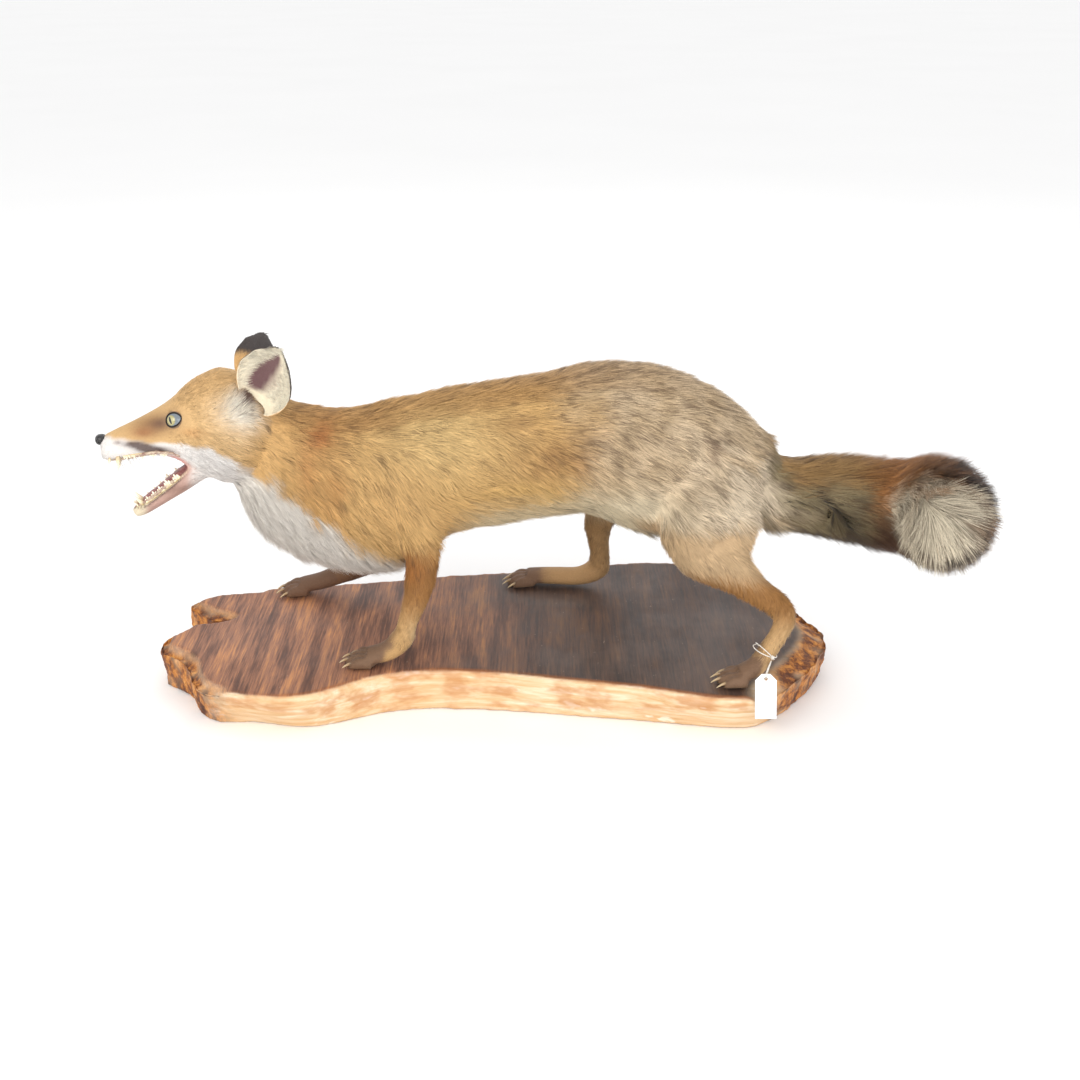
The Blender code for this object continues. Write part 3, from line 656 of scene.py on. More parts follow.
def points_of(mesh: bpy.types.Mesh) -> np.ndarray:
    """Reads a mesh's vertices.

    Args:
        mesh: the mesh that is read.

    Returns:
        One row for each vertex.
    """
    flat = np.empty(len(mesh.vertices) * 3)
    mesh.vertices.foreach_get("co", flat)
    return flat.reshape(-1, 3)


def set_points(mesh: bpy.types.Mesh, points: np.ndarray) -> None:
    """Moves a mesh's vertices."""
    mesh.vertices.foreach_set("co", points.ravel())
    mesh.update()


def make_smooth(mesh: bpy.types.Mesh) -> None:
    """Shades every face smooth."""
    mesh.polygons.foreach_set("use_smooth", np.ones(len(mesh.polygons), bool))


def remeshed(obj: bpy.types.Object, voxel: float, rounds: int) -> bpy.types.Object:
    """Voxel remeshes an object and smooths it a little.

    Args:
        obj: the object, with closed shells.
        voxel: the voxel's size in metres.
        rounds: how often it is smoothed.

    Returns:
        The remeshed object.
    """
    fuse = obj.modifiers.new("fuse", "REMESH")
    fuse.mode, fuse.voxel_size = "VOXEL", voxel
    smooth = obj.modifiers.new("smooth", "SMOOTH")
    smooth.factor, smooth.iterations = 0.5, rounds
    return fixed(obj)


def ball() -> tuple[np.ndarray, list]:
    """Makes a fine round ball of radius 1: its points and faces.

    Returns:
        Points and faces.
    """
    bm = bmesh.new()
    bmesh.ops.create_icosphere(bm, subdivisions=5, radius=1.0)
    made = np.array([v.co for v in bm.verts]), [tuple(v.index for v in f.verts) for f in bm.faces]
    bm.free()
    return made


def poly_curve(name: str, paths: Sequence[tuple[np.ndarray, bool]]) -> bpy.types.Object:
    """Makes a curve object of several paths in metres, each open or closed.

    Args:
        name: the object's name.
        paths: each path's points, and whether it is closed.

    Returns:
        The curve object.
    """
    data = bpy.data.curves.new(name, "CURVE")
    data.dimensions = "3D"
    for points, closed in paths:
        spline = data.splines.new("POLY")
        spline.points.add(len(points) - 1)
        for spot, point in zip(spline.points, points):
            spot.co = (*point, 1.0)
        spline.use_cyclic_u = closed
    return link(bpy.data.objects.new(name, data))


def drawn_faces(rng: np.random.Generator, weight: np.ndarray, count: int) -> tuple[np.ndarray, np.ndarray]:
    """Draws places on triangles by chance.

    Args:
        rng: the source of chance.
        weight: each triangle's weight.
        count: how many places.

    Returns:
        Each place's triangle and its three corner shares.
    """
    pick = rng.choice(len(weight), count, p=weight / weight.sum())
    share, other = np.sqrt(rng.random(count)), rng.random(count)
    return pick, np.column_stack([1 - share, share * (1 - other), share * other])


def read_at(values: np.ndarray, corners: np.ndarray, shares: np.ndarray) -> np.ndarray:
    """Reads a vertex field at places given by their triangles' corners and shares."""
    return (values[corners] * (shares if values.ndim == 1 else shares[:, :, None])).sum(1)


def give(mesh: bpy.types.Mesh, name: str, values: np.ndarray) -> None:
    """Stores one number, three numbers or a colour for each vertex as an attribute.

    Args:
        mesh: the mesh that gets it.
        name: the attribute's name.
        values: one row for each vertex; three columns named Pelt become a colour.
    """
    values = np.asarray(values, np.float32)
    if values.ndim == 1:
        mesh.attributes.new(name, "FLOAT", "POINT").data.foreach_set("value", values)
    elif name == "Pelt":
        full = np.ones((len(values), 4), np.float32)
        full[:, :3] = values
        mesh.attributes.new(name, "FLOAT_COLOR", "POINT").data.foreach_set("color", full.ravel())
    else:
        mesh.attributes.new(name, "FLOAT_VECTOR", "POINT").data.foreach_set("vector", values.ravel())


def dress(obj: bpy.types.Object, material: bpy.types.Material) -> bpy.types.Object:
    """Gives an object one material.

    Args:
        obj: the object.
        material: its only material.

    Returns:
        The same object.
    """
    obj.data.materials.clear()
    obj.data.materials.append(material)
    return obj


def oval(
    centre: np.ndarray, side: np.ndarray, rise: np.ndarray, half_width: float, up: float, down: float, sides: int
) -> np.ndarray:
    """Makes one ring round a centre.

    Args:
        centre: the ring's middle.
        side: its unit axis across.
        rise: its unit axis upwards.
        half_width: half its width.
        up: its height above the centre.
        down: its depth below the centre.
        sides: how many points it has.

    Returns:
        The ring's points.
    """
    turn = FULL_TURN * np.arange(sides) / sides
    height = np.where(np.sin(turn) > 0, up, down) * np.sin(turn)
    return centre + np.outer(half_width * np.cos(turn), side) + np.outer(height, rise)


def path_rings(centres: np.ndarray, sizes: Rows, hint: Sequence[float], sides: int) -> list[np.ndarray]:
    """Makes oval rings square to a path.

    Args:
        centres: the path.
        sizes: half depth and half width at each point of it.
        hint: roughly the direction of the width.
        sides: points of each ring.

    Returns:
        The rings.
    """
    ways = unit(np.gradient(np.asarray(centres, float), axis=0))
    rings = []
    for centre, way, (depth, width) in zip(centres, ways, sizes):
        rise = unit(np.cross(hint, way))
        rings.append(oval(centre, np.cross(way, rise), rise, width, depth, depth, sides))
    return rings


def loft(rings: Sequence[np.ndarray]) -> tuple[np.ndarray, list]:
    """Skins rings of equal length and closes both ends.

    Args:
        rings: the sections in order.

    Returns:
        Points and faces.
    """
    count, sides = len(rings), len(rings[0])
    points = np.concatenate([*rings, [rings[0].mean(0)], [rings[-1].mean(0)]])
    faces = []
    for row in range(count - 1):
        for i in range(sides):
            j = (i + 1) % sides
            low, high = row * sides, (row + 1) * sides
            faces.append((low + i, low + j, high + j, high + i))
    first, last, end = count * sides, count * sides + 1, (count - 1) * sides
    for i in range(sides):
        j = (i + 1) % sides
        faces += [(first, j, i), (last, end + i, end + j)]
    return points, faces


def gather(pieces: Sequence[tuple[np.ndarray, Sequence]]) -> tuple[np.ndarray, list]:
    """Joins several sets of points and faces into one.

    Args:
        pieces: the points and faces of each set.

    Returns:
        All points, and faces that count on through them.
    """
    points, faces, start = [], [], 0
    for some, theirs in pieces:
        points.append(some)
        faces += [tuple(start + i for i in face) for face in theirs]
        start += len(some)
    return np.concatenate(points), faces


def cad_shell(node: str, grow: float = 0.0) -> tuple[np.ndarray, list]:
    """Copies a CAD node with its loose triangles merged, grown outwards if asked.

    Args:
        node: the node's name.
        grow: how far its vertices move along their normals, in metres.

    Returns:
        Points and faces.
    """
    bm = bmesh.new()
    bm.from_mesh(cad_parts[node].data)
    bmesh.ops.remove_doubles(bm, verts=bm.verts, dist=LOOSE_MERGE)
    bm.normal_update()
    bm.verts.index_update()
    points = np.array([v.co + v.normal * grow for v in bm.verts])
    faces = [tuple(v.index for v in face.verts) for face in bm.faces]
    bm.free()
    return points, faces


class PathTree:
    """A Geometry Nodes tree with named inputs that ends in Realize Instances and Set Material."""

    def __init__(self, name: str, sizes: dict[str, float], others: dict[str, str]) -> None:
        """Starts the tree.

        Args:
            name: the tree's name.
            sizes: number inputs and their values.
            others: inputs of other socket types, by name.
        """
        self.tree = bpy.data.node_groups.new(name, "GeometryNodeTree")
        face = self.tree.interface
        face.new_socket("Geometry", in_out="INPUT", socket_type="NodeSocketGeometry")
        for key, value in sizes.items():
            face.new_socket(key, in_out="INPUT", socket_type="NodeSocketFloat").default_value = value
        for key, kind in others.items():
            face.new_socket(key, in_out="INPUT", socket_type=kind)
        face.new_socket("Geometry", in_out="OUTPUT", socket_type="NodeSocketGeometry")
        self.start = self.tree.nodes.new("NodeGroupInput")
        self.sizes = sizes

    def node(self, kind: str, settings: Optional[dict] = None, inputs: Optional[dict] = None) -> bpy.types.Node:
        """Adds a node.

        Args:
            kind: the node's type.
            settings: its properties.
            inputs: values, or outputs to link, by socket name or number.

        Returns:
            The node.
        """
        made = self.tree.nodes.new(kind)
        for key, value in (settings or {}).items():
            setattr(made, key, value)
        for key, value in (inputs or {}).items():
            if isinstance(value, bpy.types.NodeSocket):
                self.tree.links.new(value, made.inputs[key])
            else:
                made.inputs[key].default_value = value
        return made

    def close(self, geometry: bpy.types.NodeSocket) -> None:
        """Ends the tree in Realize Instances and Set Material.

        Args:
            geometry: the tree's last geometry.
        """
        real = self.node("GeometryNodeRealizeInstances", inputs={0: geometry})
        shaded = self.node(
            "GeometryNodeSetMaterial", inputs={"Geometry": real.outputs[0], "Material": self.start.outputs["Material"]}
        )
        end = self.tree.nodes.new("NodeGroupOutput")
        self.tree.links.new(shaded.outputs[0], end.inputs[0])

    def run(self, obj: bpy.types.Object, **values: object) -> bpy.types.Object:
        """Runs the tree on an object and gives the plain mesh that it makes.

        Args:
            obj: the object that is worked on.
            values: the inputs, by name with _ for spaces.

        Returns:
            A mesh object with no modifier.
        """
        work = obj.modifiers.new("tree", "NODES")
        work.node_group = self.tree
        named = {item.name: item.identifier for item in self.tree.interface.items_tree if item.in_out == "INPUT"}
        for key, value in values.items():
            work[named[key.replace("_", " ")]] = value
        return fixed(obj)


def twine_tree() -> PathTree:
    """Builds the tree that lays two twisted plies along a curve.

    Returns:
        The tree, with inputs Ply Radius, Ply Offset, Twist, Step and Material.
    """
    tree = PathTree(
        "twine",
        {"Ply Radius": 0.00033, "Ply Offset": 0.0002, "Twist": 2600.0, "Step": 0.0004},
        {"Material": "NodeSocketMaterial"},
    )
    start = tree.start.outputs
    fine = tree.node("GeometryNodeResampleCurve", inputs={"Curve": start["Geometry"]})
    if hasattr(fine, "mode"):
        fine.mode = "LENGTH"
    tree.tree.links.new(start["Step"], fine.inputs["Length"])
    along = tree.node("GeometryNodeSplineParameter")
    turn = tree.node("ShaderNodeMath", {"operation": "MULTIPLY"}, {0: along.outputs["Length"], 1: start["Twist"]})
    tilted = tree.node("GeometryNodeSetCurveTilt", inputs={"Curve": fine.outputs[0], "Tilt": turn.outputs[0]})
    ring = tree.node("GeometryNodeCurvePrimitiveCircle", inputs={"Resolution": 8, "Radius": start["Ply Radius"]})
    plies = []
    for side in (1, -1):
        shift = tree.node("ShaderNodeMath", {"operation": "MULTIPLY"}, {0: start["Ply Offset"], 1: float(side)})
        place = tree.node("ShaderNodeCombineXYZ", inputs={"X": shift.outputs[0]})
        moved = tree.node(
            "GeometryNodeTransform", inputs={"Geometry": ring.outputs[0], "Translation": place.outputs[0]}
        )
        body = tree.node(
            "GeometryNodeCurveToMesh",
            inputs={"Curve": tilted.outputs[0], "Profile Curve": moved.outputs[0], "Fill Caps": True},
        )
        plies.append(body.outputs[0])
    both = tree.node("GeometryNodeJoinGeometry")
    for ply in plies:
        tree.tree.links.new(ply, both.inputs[0])
    tree.close(both.outputs[0])
    return tree


def whisker_tree() -> PathTree:
    """Builds the tree that turns curves into bristles which taper to a point.

    Returns:
        The tree, with inputs Root Radius and Material.
    """
    tree = PathTree("whiskers", {"Root Radius": 0.00022}, {"Material": "NodeSocketMaterial"})
    start = tree.start.outputs
    fine = tree.node("GeometryNodeResampleCurve", inputs={"Curve": start["Geometry"], "Count": 10})
    along = tree.node("GeometryNodeSplineParameter")
    left = tree.node("ShaderNodeMath", {"operation": "SUBTRACT"}, {0: 1.06, 1: along.outputs["Factor"]})
    size = tree.node("ShaderNodeMath", {"operation": "MULTIPLY"}, {0: left.outputs[0], 1: start["Root Radius"]})
    ring = tree.node("GeometryNodeCurvePrimitiveCircle", inputs={"Resolution": 5, "Radius": 1.0})
    sized = tree.node("GeometryNodeSetCurveRadius", inputs={"Curve": fine.outputs[0], "Radius": size.outputs[0]})
    made = {"Curve": sized.outputs[0], "Profile Curve": ring.outputs[0], "Fill Caps": True}
    body = tree.node("GeometryNodeCurveToMesh", inputs=made)
    if "Scale" in body.inputs:
        tree.tree.links.new(size.outputs[0], body.inputs["Scale"])
    tree.close(body.outputs[0])
    return tree


def scatter_tree() -> PathTree:
    """Builds the tree that stands a copy of one shape on every point, turned and sized by its Turn and Size.

    Returns:
        The tree, with inputs Shape and Material.
    """
    tree = PathTree("scatter", {}, {"Shape": "NodeSocketObject", "Material": "NodeSocketMaterial"})
    start = tree.start.outputs
    shape = tree.node("GeometryNodeObjectInfo", inputs={"Object": start["Shape"]})
    turn, size = (
        tree.node("GeometryNodeInputNamedAttribute", {"data_type": "FLOAT_VECTOR"}, {"Name": key})
        for key in ("Turn", "Size")
    )
    euler = tree.node("FunctionNodeEulerToRotation", inputs={0: turn.outputs[0]})
    placed = tree.node(
        "GeometryNodeInstanceOnPoints",
        inputs={
            "Points": start["Geometry"],
            "Instance": shape.outputs["Geometry"],
            "Rotation": euler.outputs[0],
            "Scale": size.outputs[0],
        },
    )
    tree.close(placed.outputs[0])
    return tree


def scatter(
    name: str, shape: bpy.types.Object, spots: list[tuple[Vector, Matrix, Vector]], material: bpy.types.Material
) -> bpy.types.Object:
    """Stands copies of a shape on spots through the scatter tree.

    Args:
        name: the piece's name.
        shape: the master, removed afterwards.
        spots: place, rotation and size of each copy.
        material: the finish.

    Returns:
        One mesh of all the copies.
    """
    mesh = bpy.data.meshes.new(name)
    mesh.from_pydata([tuple(place) for place, _, _ in spots], [], [])
    give(mesh, "Turn", np.array([tuple(turn.to_euler()) for _, turn, _ in spots]))
    give(mesh, "Size", np.array([tuple(size) for _, _, size in spots]))
    made = scatter_tree().run(link(bpy.data.objects.new(name, mesh)), Shape=shape, Material=material)
    discard(shape)
    for each in ("Turn", "Size"):
        if each in made.data.attributes:
            made.data.attributes.remove(made.data.attributes[each])
    make_smooth(made.data)
    return made


# ------------------------------------------------------------------------------------------ the head's own frame
@dataclass(frozen=True)
class HeadFrame:
    """The head before it is turned: millimetres ahead of the neck pivot, out to the fox's right, and up."""

    pivot: tuple[float, float, float] = (-250.0, 0.0, 270.0)
    yaw: float = 12.0
    roll: float = -8.0

    def matrix(self) -> Matrix:
        """Gives the turn and tilt about the pivot, in metres.

        Returns:
            The matrix that moves the head from its upright pose.
        """
        pivot = Matrix.Translation(Vector(self.pivot) * MM)
        turned = Matrix.Rotation(math.radians(self.yaw), 4, "Z") @ Matrix.Rotation(math.radians(self.roll), 4, "X")
        return pivot @ turned @ pivot.inverted()

    def world(self, spots: np.ndarray) -> np.ndarray:
        """Turns rows of ahead, side, height into places in metres.

        Args:
            spots: rows of ahead, side and height in millimetres.

        Returns:
            One row in metres for each spot.
        """
        spots = np.atleast_2d(np.asarray(spots, float))
        plain = np.column_stack([self.pivot[0] - spots[:, 0], spots[:, 1], spots[:, 2]]) * MM
        whole = np.array(self.matrix())
        return plain @ whole[:3, :3].T + whole[:3, 3]

    def local(self, points: np.ndarray) -> np.ndarray:
        """Turns places in metres into rows of ahead, side, height.

        Args:
            points: rows of places in metres.

        Returns:
            Rows of ahead, side and height in millimetres.
        """
        whole = np.array(self.matrix().inverted())
        plain = (points @ whole[:3, :3].T + whole[:3, 3]) / MM
        return np.column_stack([self.pivot[0] - plain[:, 0], plain[:, 1], plain[:, 2]])

    def way(self, ahead: float, side: float, rise: float) -> np.ndarray:
        """Turns a direction into the whole model's frame."""
        return unit(np.array(self.matrix())[:3, :3] @ np.array((-ahead, side, rise)))


HEAD = HeadFrame()


@dataclass(frozen=True)
class Skull:
    """The station tables of head, jaw, mouth and tongue, in millimetres in the head's frame."""

    # Ahead of the pivot, centre height, up, down, half width.
    stations: Rows = (
        (12, 262, 38, 46, 42), (34, 268, 53, 58, 51), (55, 272, 55, 61, 53), (75, 272, 48, 55, 47),
        (91, 270, 40, 40, 38), (103, 267, 33, 27, 31), (117, 263, 27, 19, 24.5), (137, 259, 21.5, 15.5, 19),
        (155, 256, 17, 13.5, 15.5), (165, 255, 13, 12.5, 12.5), (170, 254, 8.5, 9, 8),
    )
    # Ahead of the pivot, centre height, half thickness, half width.
    jaw: Rows = (
        (58, 243, 22, 30), (84, 227, 14, 23), (106, 213, 10, 17), (125, 201, 8.2, 12.5), (138, 193.5, 7.2, 10),
        (145, 189.5, 4.5, 6.5),
    )
    # Ahead of the pivot, centre height, up, down, half width.
    mouth: Rows = (
        (60, 241, 4, 4, 7), (76, 239, 8, 8, 13), (92, 236, 11, 11, 16), (104, 232, 14, 13.5, 15.5),
        (124, 226.5, 22, 21.5, 11), (144, 221, 28.5, 24, 8), (158, 219, 27, 20, 5),
    )
    # Ahead of the pivot, centre height, half thickness, half width.
    tongue: Rows = (
        (70, 239.5, 2.5, 8), (86, 234, 3.6, 11), (103, 223, 3.8, 11), (120, 211.5, 3.2, 8.5), (134, 203, 2.2, 5.5),
    )

    def tube(self, rows: Rows, between: int, sides: int) -> tuple[np.ndarray, list]:
        """Lofts upright sections of five numbers.

        Args:
            rows: the sections.
            between: rings between two sections.
            sides: points on a ring.

        Returns:
            Points and faces of a closed shell.
        """
        side, rise = np.array((0.0, 1.0, 0.0)), UP
        rings = [
            oval(np.array((-ahead, 0.0, z)), side, rise, half, up, down, sides)
            for ahead, z, up, down, half in spread(rows, between)
        ]
        points, faces = loft(rings)
        points[:, 0] *= -1
        return HEAD.world(points), faces

    def sloped(self, rows: Rows, between: int, sides: int) -> tuple[np.ndarray, list]:
        """Lofts sections of four numbers square to their own path.

        Args:
            rows: the sections.
            between: rings between two sections.
            sides: points on a ring.

        Returns:
            Points and faces of a closed shell.
        """
        table = spread(rows, between)
        centres = np.column_stack([-table[:, 0], np.zeros(len(table)), table[:, 1]])
        points, faces = loft(path_rings(centres, table[:, 2:], (0, 1, 0), sides))
        points[:, 0] *= -1
        return HEAD.world(points), faces

    def row(self, rows: Rows, ahead: float) -> np.ndarray:
        """Reads a station row at a distance ahead of the pivot."""
        table = np.array(rows, float)
        return np.array([np.interp(ahead, table[:, 0], column) for column in table.T])

    def upper_gum(self, ahead: float, share: float) -> np.ndarray:
        """Gives a spot on the muzzle's underside, a share of its half width out."""
        _, z, _, down, half = self.row(self.stations, ahead)
        return np.array((ahead, share * half, z - down * math.sqrt(1 - share * share)))

    def lower_gum(self, ahead: float, share: float) -> tuple[np.ndarray, np.ndarray]:
        """Gives a spot on the jaw's upper side and the direction in which a tooth stands there.

        Args:
            ahead: how far ahead the spot is.
            share: the share of the half width out.

        Returns:
            The spot and the direction.
        """
        _, z, thick, half = self.row(self.jaw, ahead)
        slope = (self.jaw[3][1] - self.jaw[1][1]) / (self.jaw[3][0] - self.jaw[1][0])
        rise = unit(np.array((-slope, 0.0, 1.0)))
        return np.array((ahead, share * half, z)) + rise * thick * math.sqrt(1 - share * share), rise


SKULL = Skull()


@dataclass(frozen=True)
class Ear:
    """One cupped ear, open outwards; lengths in millimetres, leans in degrees from upright."""

    side: int
    outward: float
    back: float
    length: float = 75.0
    wall: float = 1.9
    base: tuple[float, float, float] = (24.0, 38.0, 294.0)
    # Share of the length, half width, depth of the cup.
    rows: Rows = (
        (-0.06, 13, 10), (0.0, 18, 12.5), (0.2, 26, 15), (0.4, 28.5, 14), (0.6, 25, 10.5), (0.8, 17, 6.5),
        (0.93, 9.0, 3), (1.0, 3.4, 1),
    )

    def axes(self) -> tuple[np.ndarray, np.ndarray, np.ndarray]:
        """Gives the unit axis, the way it faces and the way across, before the head is turned.

        Returns:
            The three unit ways.
        """
        out, back = math.radians(self.outward), math.radians(self.back)
        axis = unit(np.array((math.sin(back), self.side * math.sin(out), math.cos(out) * math.cos(back))))
        facing = np.array((-0.42, self.side * 0.9, 0.0))
        facing = unit(facing - axis * facing.dot(axis))
        return axis, facing, unit(np.cross(facing, axis)) * self.side

    def sheet(self, columns: int, between: int) -> tuple[np.ndarray, np.ndarray]:
        """Gives the grid of the ear's middle sheet and of its share up and across.

        Args:
            columns: steps across.
            between: steps between stations.

        Returns:
            Points in metres, and for each the share of the length and the turn across from -1 to 1.
        """
        axis, facing, across = self.axes()
        ahead, side, z = self.base
        base = np.array((HEAD.pivot[0] - ahead, self.side * side, z))
        grid, marks = [], []
        for share, half, cup in spread(self.rows, between):
            turn = math.pi * (np.arange(columns + 1) / columns - 0.5)
            wave = 0.6 * np.sin(share * 21 + turn * 3) * np.abs(np.sin(turn)) ** 6 * step(np.array([share]), 0.3, 0.7)
            grid.append(
                base
                + axis * self.length * share
                + np.outer(half * np.sin(turn) + wave, across)
                - np.outer(cup * np.cos(turn) ** 1.2 - wave, facing)
            )
            marks.append(np.column_stack([np.full(columns + 1, share), turn / (math.pi / 2)]))
        whole = np.array(HEAD.matrix())
        points = np.array(grid) * MM @ whole[:3, :3].T + whole[:3, 3]
        return points, np.array(marks)

    def shell(self, columns: int = 26, between: int = 5) -> tuple[np.ndarray, list, np.ndarray]:
        """Makes the closed ear: an inner and an outer sheet joined round the rim.

        Args:
            columns: steps across.
            between: steps between stations.

        Returns:
            Points, faces, and for each point the share up, the turn across, and 1 inside or 0 outside.
        """
        sheet, marks = self.sheet(columns, between)
        rows, wide = sheet.shape[:2]
        up, over = np.gradient(sheet, axis=0), np.gradient(sheet, axis=1)
        normal = unit(np.cross(up, over))
        _, facing, _ = self.axes()
        facing = np.array(HEAD.matrix())[:3, :3] @ facing
        normal *= np.where((normal @ facing).mean() > 0, 1, -1)
        thin = 1 - 0.55 * step(np.abs(marks[..., 1]), 0.6, 1.0) * step(marks[..., 0], 0.1, 0.3)
        half = (self.wall / 2 * MM) * thin[..., None]
        inner, outer = sheet + normal * half, sheet - normal * half
        points = np.concatenate([inner.reshape(-1, 3), outer.reshape(-1, 3)])
        flags = np.concatenate([np.ones(rows * wide), np.zeros(rows * wide)])
        kinds = np.column_stack([np.tile(marks.reshape(-1, 2), (2, 1)), flags])
        faces = []
        other = rows * wide
        for r in range(rows - 1):
            for c in range(wide - 1):
                a, b, d, e = r * wide + c, r * wide + c + 1, (r + 1) * wide + c + 1, (r + 1) * wide + c
                faces += [(a, b, d, e), (other + a, other + e, other + d, other + b)]
        rim = [(0, c) for c in range(wide)] + [(r, wide - 1) for r in range(1, rows)]
        rim += [(rows - 1, c) for c in range(wide - 2, -1, -1)] + [(r, 0) for r in range(rows - 2, 0, -1)]
        for (r, c), (r2, c2) in zip(rim, rim[1:] + rim[:1]):
            a, b = r * wide + c, r2 * wide + c2
            faces.append((a, other + a, other + b, b))
        return points, faces, kinds


EARS = (Ear(-1, 38.0, 20.0), Ear(1, 48.0, 12.0))


# ------------------------------------------------------------------------------------------ the skin
class Region(Enum):
    """The parts of the animal, each with its own coat."""

    HEAD = 0
    JAW = 1
    NECK = 2
    TRUNK = 3
    FORE_NEAR = 4
    FORE_FAR = 5
    HIND_NEAR = 6
    HIND_FAR = 7
    PAWS = 8
    TAIL = 9


REGION_OF = {
    **dict(zip(("head", "lower_jaw", "neck", "trunk"), Region)),
    "fore_leg_left": Region.FORE_NEAR,
    "fore_leg_right": Region.FORE_FAR,
    "hind_leg_left": Region.HIND_NEAR,
    "hind_leg_right": Region.HIND_FAR,
    **{f"{end}_paw_{side}": Region.PAWS for end in ("fore", "hind") for side in ("left", "right")},
    **{f"tail_{part}": Region.TAIL for part in ("root", "middle", "tip")},
}
FLESH_NODES = (*REGION_OF, "ear_left", "ear_right")


@dataclass(frozen=True)
class Growth:
    """How the coat grows on one region, in millimetres, degrees and tufts per square centimetre."""

    depth: float
    length: float
    width: float
    lift: float
    density: float


GROWTH = {
    Region.HEAD: Growth(2.8, 7.5, 0.62, 16, 52),
    Region.JAW: Growth(0.9, 4.0, 0.6, 15, 60),
    Region.NECK: Growth(8.0, 21.0, 0.85, 24, 26),
    Region.TRUNK: Growth(7.5, 21.0, 0.85, 22, 26),
    Region.FORE_NEAR: Growth(2.2, 8.0, 0.6, 16, 62),
    Region.FORE_FAR: Growth(2.2, 8.0, 0.6, 16, 62),
    Region.HIND_NEAR: Growth(2.4, 9.0, 0.65, 16, 58),
    Region.HIND_FAR: Growth(2.4, 9.0, 0.65, 16, 58),
    Region.PAWS: Growth(1.1, 4.6, 0.55, 14, 80),
    Region.TAIL: Growth(16.0, 35.0, 0.95, 36, 26),
}

# Tail centre line, in millimetres: x, y, z.
TAIL_LINE = np.array(
    (
        (208, 0, 214), (232, 0, 200), (262, 1, 194), (296, 3, 190), (328, 4, 184), (352, -4, 184), (370, -22, 188),
        (377, -46, 193), (375, -70, 197), (370, -92, 201), (366, -106, 204),
    ),
    float,
)


@dataclass(frozen=True)
class Foot:
    """One foot: where its toes spring, its heading off -X in degrees, and the stations that join it to its leg."""

    node: str
    ball: tuple[float, float]
    heading: float
    half_width: float
    # x, y, z, half depth, half width.
    stations: Rows
    toe_spread: tuple = (-0.72, -0.25, 0.25, 0.72)
    toe_reach: tuple = (17, 22, 22, 17)
    # Along the toe, half height, half width.
    toe_rows: Rows = ((-6, 6.4, 6.0), (2, 6.6, 6.2), (9, 6.9, 6.3), (14, 6.0, 5.8), (18, 4.8, 4.6), (20.5, 2.6, 2.6))

    def ways(self) -> tuple[np.ndarray, np.ndarray]:
        """Gives the unit heading and the way across.

        Returns:
            The heading and the way across.
        """
        turn = math.radians(self.heading)
        heading = np.array((-math.cos(turn), -math.sin(turn), 0.0))
        return heading, np.array((-heading[1], heading[0], 0.0))

    def toes(self) -> list[tuple[np.ndarray, np.ndarray, float, float]]:
        """Lists each toe's root, heading, reach and share across the foot.

        Returns:
            One row for each toe.
        """
        heading, across = self.ways()
        found = []
        for share, reach in zip(self.toe_spread, self.toe_reach):
            turn = math.radians(11 * share)
            way = heading * math.cos(turn) + np.cross(UP, heading) * math.sin(turn)
            found.append((np.array((*self.ball, 0.0)) + across * share * self.half_width, way, reach, share))
        return found

    def lofts(self) -> list[tuple[np.ndarray, list]]:
        """Makes the foot and its toes, in metres.

        Returns:
            Points and faces of each closed shell.
        """
        table = spread(self.stations, 3)
        made = [loft([ring * MM for ring in path_rings(table[:, :3], table[:, 3:], (0, 1, 0), 20)])]
        for root, way, reach, _ in self.toes():
            rings = []
            for along, high, wide in spread(self.toe_rows, 2):
                centre = root + way * along * reach / 19
                centre[2] = SLAB_TOP / MM + 0.3 + high * 0.97
                rings.append(oval(centre, np.cross(UP, way), UP, wide, high, high, 14) * MM)
            made.append(loft(rings))
        return made


FEET = (
    Foot(
        "fore_paw_left", (-166, -76), -8, 15.5,
        ((-120, -71, 112, 14.5, 13.5), (-128, -74, 90, 11.5, 11.5), (-132, -76, 77, 12.5, 12),
         (-142, -77, 65, 11.5, 13), (-154, -76, 58, 10, 14), (-168, -76, 55, 8.5, 15)),
    ),
    Foot(
        "fore_paw_right", (-256, 89), 4, 15.5,
        ((-160, 76, 95, 15.5, 14), (-192, 80, 80, 13, 13), (-216, 83, 70, 11.5, 13), (-236, 86, 61, 10, 14),
         (-258, 89, 55, 8.5, 15)),
    ),
    Foot(
        "hind_paw_left", (192, -114), -4, 15,
        ((233, -98, 106, 12.5, 11.5), (225, -103, 90, 11, 11), (215, -107, 75, 10.5, 12), (205, -111, 62, 10, 13.5),
         (190, -114, 55, 8.5, 14.5)),
    ),
    Foot(
        "hind_paw_right", (-12, 113), 4, 15,
        ((63, 94, 103, 13.5, 13), (65, 99, 84, 12.5, 12), (62, 103, 68, 13.5, 13), (44, 106, 58, 11, 13),
         (20, 109, 56.5, 10, 14), (4, 111, 56, 9.5, 14), (-14, 113, 55, 8.5, 14.5)),
    ),
)  # fmt: skip


